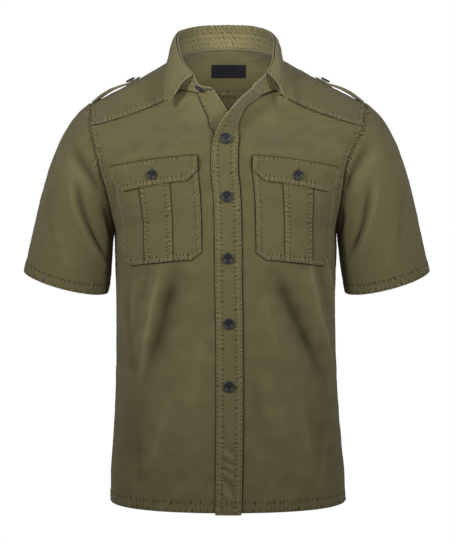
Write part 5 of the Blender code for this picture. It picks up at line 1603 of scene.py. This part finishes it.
def make_stand(cloth, thread):
    def place(turn, share):
        seam, fold = collar_side(neck_seam_point, turn), collar_side(fold_point, turn)
        return seam + (fold - seam) * share

    surface = Surface(place, (-0.5, 14.5), (-0.1, 1.1), (120, 12))
    share, turn = grid_of(steps(STAND_SHARES[0], 1.0, 0.05), steps(0.0, 14.0, 0.045))
    base = surface.at(turn, share)
    left, right, low, high = lens = measures(base)
    relief = Relief(turn.shape)
    for i, edge in enumerate((low, high)):
        relief.seam(left, edge, (EDGE_ROW, 0.0062), 73.0 + 4 * i, height=0.0007)
    relief.seam(left, low, (0.016, 0.024), 79.0, height=0.0006, rim=0.0)
    relief.seam(low, np.minimum(left, right), (EDGE_ROW,), 76.0, height=0.0003)
    relief.add(0.0003 * rough(left, low, 91))
    points = lifted(base, -1, relief.lift)
    piece = shell("collar_stand_band", points, COLLAR_CLOTH, cloth, -1, relief, lens)
    stitches = Stitches("stand_stitches")
    inner = points + normals_of(points, 1) * COLLAR_CLOTH
    for face, sign in ((points, -1), (inner, 1)):
        lines = with_normals(face, normals_of(points, sign))
        for row in (EDGE_ROW, 0.0062):
            stitches.row(line_at(lines, low, row, True))
    made = stitches.finish(thread)
    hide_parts("collar_stand")


def make_fall(cloth, thread):
    def place(turn, share):
        fold, edge = collar_side(fold_point, turn), collar_side(edge_point, turn)
        point = fold + (edge - fold) * share
        away = unit(np.array([point[0], point[1] - 0.005, 0.0]))
        point = point + away * (COLLAR_SWELL * math.sin(math.pi * share) + COLLAR_STAND_OFF)
        point[2] += COLLAR_ROLL * math.sin(math.pi * min(max(share, 0.0) * 1.6, 1.0))
        return point

    surface = Surface(place, (0.5, 13.5), (-0.1, 1.1), (104, 24))
    share, turn = grid_of(steps(0.0, 1.0, 0.018), steps(1.0, 13.0, 0.05))
    base = surface.at(turn, share)
    left, right, top, edge = lens = measures(base)
    rim = np.minimum(np.minimum(left, right), edge)
    along = np.where(rim == edge, left, top)
    relief = Relief(turn.shape)
    relief.seam(along, rim, (EDGE_ROW, 0.0064), 83.0, height=0.0007)
    relief.step(rim, 0.0074, 0.0004)
    relief.wear_and_shading += 0.35 * np.exp(-((top / 0.004) ** 2))
    relief.add(0.00045 * rough(left, top, 95, 0.024))
    points = lifted(base, 1, relief.lift)
    piece = shell("collar_fall_leaf", points, COLLAR_CLOTH, cloth, 1, relief, lens)
    stitches = Stitches("fall_stitches")
    lines = with_normals(points, normals_of(points, 1))
    for row in (EDGE_ROW, 0.0064):
        stitches.row(line_at(lines, edge, row, True))
        stitches.row(line_at(lines, left, row))
        stitches.row(line_at(lines, right, row))
    made = stitches.finish(thread)
    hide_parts("collar_fall")


def make_label(woven, thread):
    xs, zs = steps(-0.5, 0.5, 0.035), steps(0.0, 1.0, 0.09)
    points = np.array([[yoke_inside(LABEL_X + LABEL_WIDTH * x if abs(LABEL_X + LABEL_WIDTH * x) > 0.001 else 0.001,
                                    LABEL_TOP_Z - LABEL_HEIGHT * z, CLOTH + LABEL_SPACE) for x in xs] for z in zs])
    left, right, top, low = lens = measures(points)
    relief = Relief(left.shape)
    piece = shell("label_cloth", points, LABEL_CLOTH, woven, 1, relief, lens)
    stitches = Stitches("label_stitches")
    lines = with_normals(points, normals_of(points, 1))
    for edge, by_column in ((left, False), (right, False), (top, True), (low, True)):
        stitches.row(line_at(lines, edge, 0.0012, by_column), 0.0026, 0.0017, 0.0002)
    made = stitches.finish(thread)
    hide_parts("neck_label")


# Buttons: profile as shares of the radius and height, four holes and the thread through them
Turn = namedtuple("Turn", "radius height")
BUTTON_PROFILE = (
    Turn(0.00, 0.52), Turn(0.52, 0.52), Turn(0.60, 0.58), Turn(0.68, 0.84), Turn(0.76, 0.97), Turn(0.84, 1.0),
    Turn(0.93, 0.95), Turn(0.985, 0.80), Turn(1.0, 0.60), Turn(0.985, 0.30), Turn(0.90, 0.06), Turn(0.80, 0.0),
    Turn(0.00, 0.0),
)
BUTTON_STEPS = 48
HOLE_PLACE = 0.0018
HOLE_RADIUS = 0.00100
HOLE_SIDES = 12


def cylinder(name, radius, low, high, x, y, sides=HOLE_SIDES):
    bpy.ops.mesh.primitive_cylinder_add(vertices=sides, radius=radius, depth=high - low, location=(x, y, (low + high) / 2))
    made = bpy.context.object
    made.name = name
    return made


def make_button(node_name, name, radius, surface, towards, horn, thread):
    reach = BUTTON_FOOT * radius
    angles = [math.pi * k / 4 for k in range(8)]
    around = [surface(reach * math.cos(t), reach * math.sin(t)) for t in angles]
    middle = surface(0.0, 0.0)
    normal = unit(np.cross(around[0] - around[4], around[2] - around[6]))
    normal = normal * np.sign(np.dot(normal, towards))
    top = max(np.dot(p - middle, normal) for p in around + [middle])
    place = middle + normal * (top + BUTTON_GAP + 0.0002)
    verts, faces = [], []
    rings = BUTTON_PROFILE[1:-1]
    for t in rings:
        for k in range(BUTTON_STEPS):
            angle = 2 * math.pi * k / BUTTON_STEPS
            verts.append((t.radius * radius * math.cos(angle), t.radius * radius * math.sin(angle),
                          t.height * BUTTON_HEIGHT))
    for r in range(len(rings) - 1):
        for k in range(BUTTON_STEPS):
            m = (k + 1) % BUTTON_STEPS
            a, b = r * BUTTON_STEPS, (r + 1) * BUTTON_STEPS
            faces.append((a + k, b + k, b + m, a + m))
    faces.append(tuple(range(BUTTON_STEPS)))
    last = (len(rings) - 1) * BUTTON_STEPS
    faces.append(tuple(last + k for k in reversed(range(BUTTON_STEPS))))
    mesh = bpy.data.meshes.new(name)
    mesh.from_pydata(verts, [], faces)
    piece = bpy.data.objects.new(name, mesh)
    bpy.context.scene.collection.objects.link(piece)
    cutters = []
    for x in (-1, 1):
        for y in (-1, 1):
            cutter = cylinder("cutter", HOLE_RADIUS, -0.001, BUTTON_HEIGHT + 0.001, x * HOLE_PLACE, y * HOLE_PLACE)
            cutters.append(cutter)
            cut = piece.modifiers.new("Hole", "BOOLEAN")
            cut.object = cutter
            cut.operation = "DIFFERENCE"
    graph = bpy.context.evaluated_depsgraph_get()
    piece.data = bpy.data.meshes.new_from_object(piece.evaluated_get(graph))
    piece.data.name = name
    piece.modifiers.clear()
    for cutter in cutters:
        bpy.data.objects.remove(cutter, do_unlink=True)
    piece.data.materials.clear()
    piece.data.materials.append(horn)
    for polygon in piece.data.polygons:
        polygon.use_smooth = len(polygon.vertices) == 4
    turn = Vector(normal).to_track_quat("Z", "Y")
    piece.location = place
    piece.rotation_mode = "QUATERNION"
    piece.rotation_quaternion = turn
    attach(piece, "root")
    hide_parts(node_name)
    bars = Stitches(name + "_thread")
    up = np.array(turn @ Vector((0.0, 0.0, 1.0)))
    for k in (-1, 1):
        ends = [place + np.array(turn @ Vector((k * y * HOLE_PLACE, y * HOLE_PLACE, BUTTON_HEIGHT * 0.54))) for y in (-1, 1)]
        for shift in (-0.00025, 0.00025):
            side = np.array(turn @ Vector((shift, 0.0, 0.0)))
            bars.bead(ends[0] + side, ends[1] + side, up, 0.0003)
    bars.finish(thread)


def make_buttons(horn, thread):
    forward, upward = np.array([0.0, -1.0, 0.0]), np.array([0.0, 0.0, 1.0])
    lift = GAP + PLACKET_CLOTH
    for i, h in enumerate(FRONT_BUTTONS, start=1):
        make_button("button_front_%d" % i, "horn_button_%d" % i, BUTTON_RADIUS,
                    lambda a, b: front_point(1, a, h + b, lift), forward, horn, thread)
    height = FLAP_TOP_H - FLAP_BUTTON_DROP
    top = GAP + FLAP_CLOTH + PLEAT_RISE + POCKET_CLOTH + 2 * GAP
    half = STRAP_BUTTON_HALF_WIDTH
    for side, tag in ((-1, "left"), (1, "right")):
        middle = POCKET_INNER[side] + POCKET_WIDTH / 2
        make_button("button_pocket_" + tag, "horn_pocket_button_" + tag, SMALL_BUTTON_RADIUS,
                    lambda a, b: front_point(side, middle + a, height + b, top), forward, horn, thread)
        make_button("button_epaulette_" + tag, "horn_strap_button_" + tag, SMALL_BUTTON_RADIUS,
                    lambda a, b: strap_grid(side, [STRAP_BUTTON_SHARE + a / STRAP_LENGTH], [b / half], STRAP_LIFT)[0, 0],
                    upward, horn, thread)
    make_button("button_collar", "horn_collar_button", SMALL_BUTTON_RADIUS, stand_outside, forward, horn, thread)


# The studio
CAMERA_PLACE = (0.0, -2.9, -0.186)
CAMERA_AIM = (0.0, 0.0, -0.333)
CAMERA_LENS = 120.0
FLOOR_Z = -1.1
ROOM_LIGHT = 0.24


def area_light(name, place, aim, size, power, spread=180.0):
    data = bpy.data.lights.new(name, "AREA")
    data.shape = "DISK"
    data.size = size
    data.energy = power
    data.spread = math.radians(spread)
    lamp = bpy.data.objects.new(name, data)
    lamp.location = place
    lamp.rotation_euler = (Vector(aim) - Vector(place)).to_track_quat("-Z", "Y").to_euler()
    bpy.context.scene.collection.objects.link(lamp)


def make_studio():
    bpy.ops.mesh.primitive_plane_add(size=1.8, location=(0.0, 0.0, FLOOR_Z))
    floor = bpy.context.object
    floor.name = "studio_floor"
    floor.data.materials.append(plain_material("pale_floor", PALE, PALE_SHADE, 40.0, 0.8, 0.0002, 0.2))
    world = bpy.data.worlds.new("white_room")
    bpy.context.scene.world = world
    world.use_nodes = True
    tree = world.node_tree
    tree.nodes["Background"].inputs["Color"].default_value = (1.0, 1.0, 1.0, 1.0)
    seen = node(tree, "ShaderNodeLightPath").outputs["Is Camera Ray"]
    link(tree, map_range(tree, seen, 0.0, 1.0, ROOM_LIGHT, 1.0), tree.nodes["Background"].inputs["Strength"])
    area_light("key", (-1.05, -1.25, 0.26), (0.0, 0.0, -0.11), 0.40, 2.6, 75.0)
    area_light("fill", (1.05, -1.25, 0.20), (0.0, 0.0, -0.13), 0.40, 2.15, 75.0)
    data = bpy.data.lights.new("neck", "SPOT")
    data.energy = 240.0
    data.spot_size = math.radians(5.0)
    data.spot_blend = 1.0
    data.shadow_soft_size = 0.05
    lamp = bpy.data.objects.new("neck", data)
    lamp.location = (0.0, -2.6, -0.14)
    lamp.rotation_euler = (Vector((0.0, 0.06, 0.012)) - lamp.location).to_track_quat("-Z", "Y").to_euler()
    bpy.context.scene.collection.objects.link(lamp)
    data = bpy.data.cameras.new("camera")
    data.lens = CAMERA_LENS
    data.sensor_width = 36.0
    camera = bpy.data.objects.new("camera", data)
    camera.location = CAMERA_PLACE
    camera.rotation_euler = (Vector(CAMERA_AIM) - Vector(CAMERA_PLACE)).to_track_quat("-Z", "Y").to_euler()
    bpy.context.scene.collection.objects.link(camera)
    bpy.context.scene.camera = camera
    bpy.context.scene.view_settings.view_transform = "Standard"


# Near-black painted shadow for the deepest dark lines beside overlapping edges.
SHADE = (0.012, 0.010, 0.005, 1.0)
OLIVE_DARK = (0.046, 0.038, 0.014, 1.0)
OLIVE_LIGHT = (0.270, 0.238, 0.118, 1.0)
THREAD_DARK = (0.120, 0.104, 0.048, 1.0)
THREAD_LIGHT = (0.230, 0.205, 0.105, 1.0)
CHARCOAL_LIGHT = (0.030, 0.032, 0.036, 1.0)
LABEL_GREY = (0.016, 0.015, 0.018, 1.0)
LABEL_BLACK = (0.008, 0.007, 0.009, 1.0)
PALE = (0.80, 0.80, 0.79, 1.0)
PALE_SHADE = (0.76, 0.76, 0.75, 1.0)


def main():
    cloth = twill_material("washed_olive_twill", OLIVE_DARK, OLIVE, OLIVE_LIGHT)
    thread = plain_material("olive_thread", THREAD_DARK, THREAD_LIGHT, 2500.0, 0.85, 0.0001, 0.2)
    horn = plain_material("charcoal_horn", CHARCOAL, CHARCOAL_LIGHT, 300.0, 0.38, 0.00005, 0.4)
    dark_thread = plain_material("charcoal_thread", BLACK, CHARCOAL_LIGHT, 2500.0, 0.8, 0.0001, 0.2)
    woven = label_material()
    surfaces = {side: front_surface(side) for side in (-1, 1)}
    for side in (-1, 1):
        make_front(side, surfaces[side], cloth, thread)
    make_back(cloth, thread)
    make_yoke(cloth, thread)
    for side in (-1, 1):
        make_sleeve(side, cloth, thread)
    make_band(surfaces[-1], cloth, thread)
    make_placket(surfaces[1], cloth, thread)
    for side in (-1, 1):
        make_pocket(side, surfaces[side], cloth, thread)
        make_flap(side, surfaces[side], cloth, thread)
        make_strap(side, cloth, thread)
    make_stand(cloth, thread)
    make_fall(cloth, thread)
    make_label(woven, dark_thread)
    make_buttons(horn, dark_thread)
    make_studio()


main()
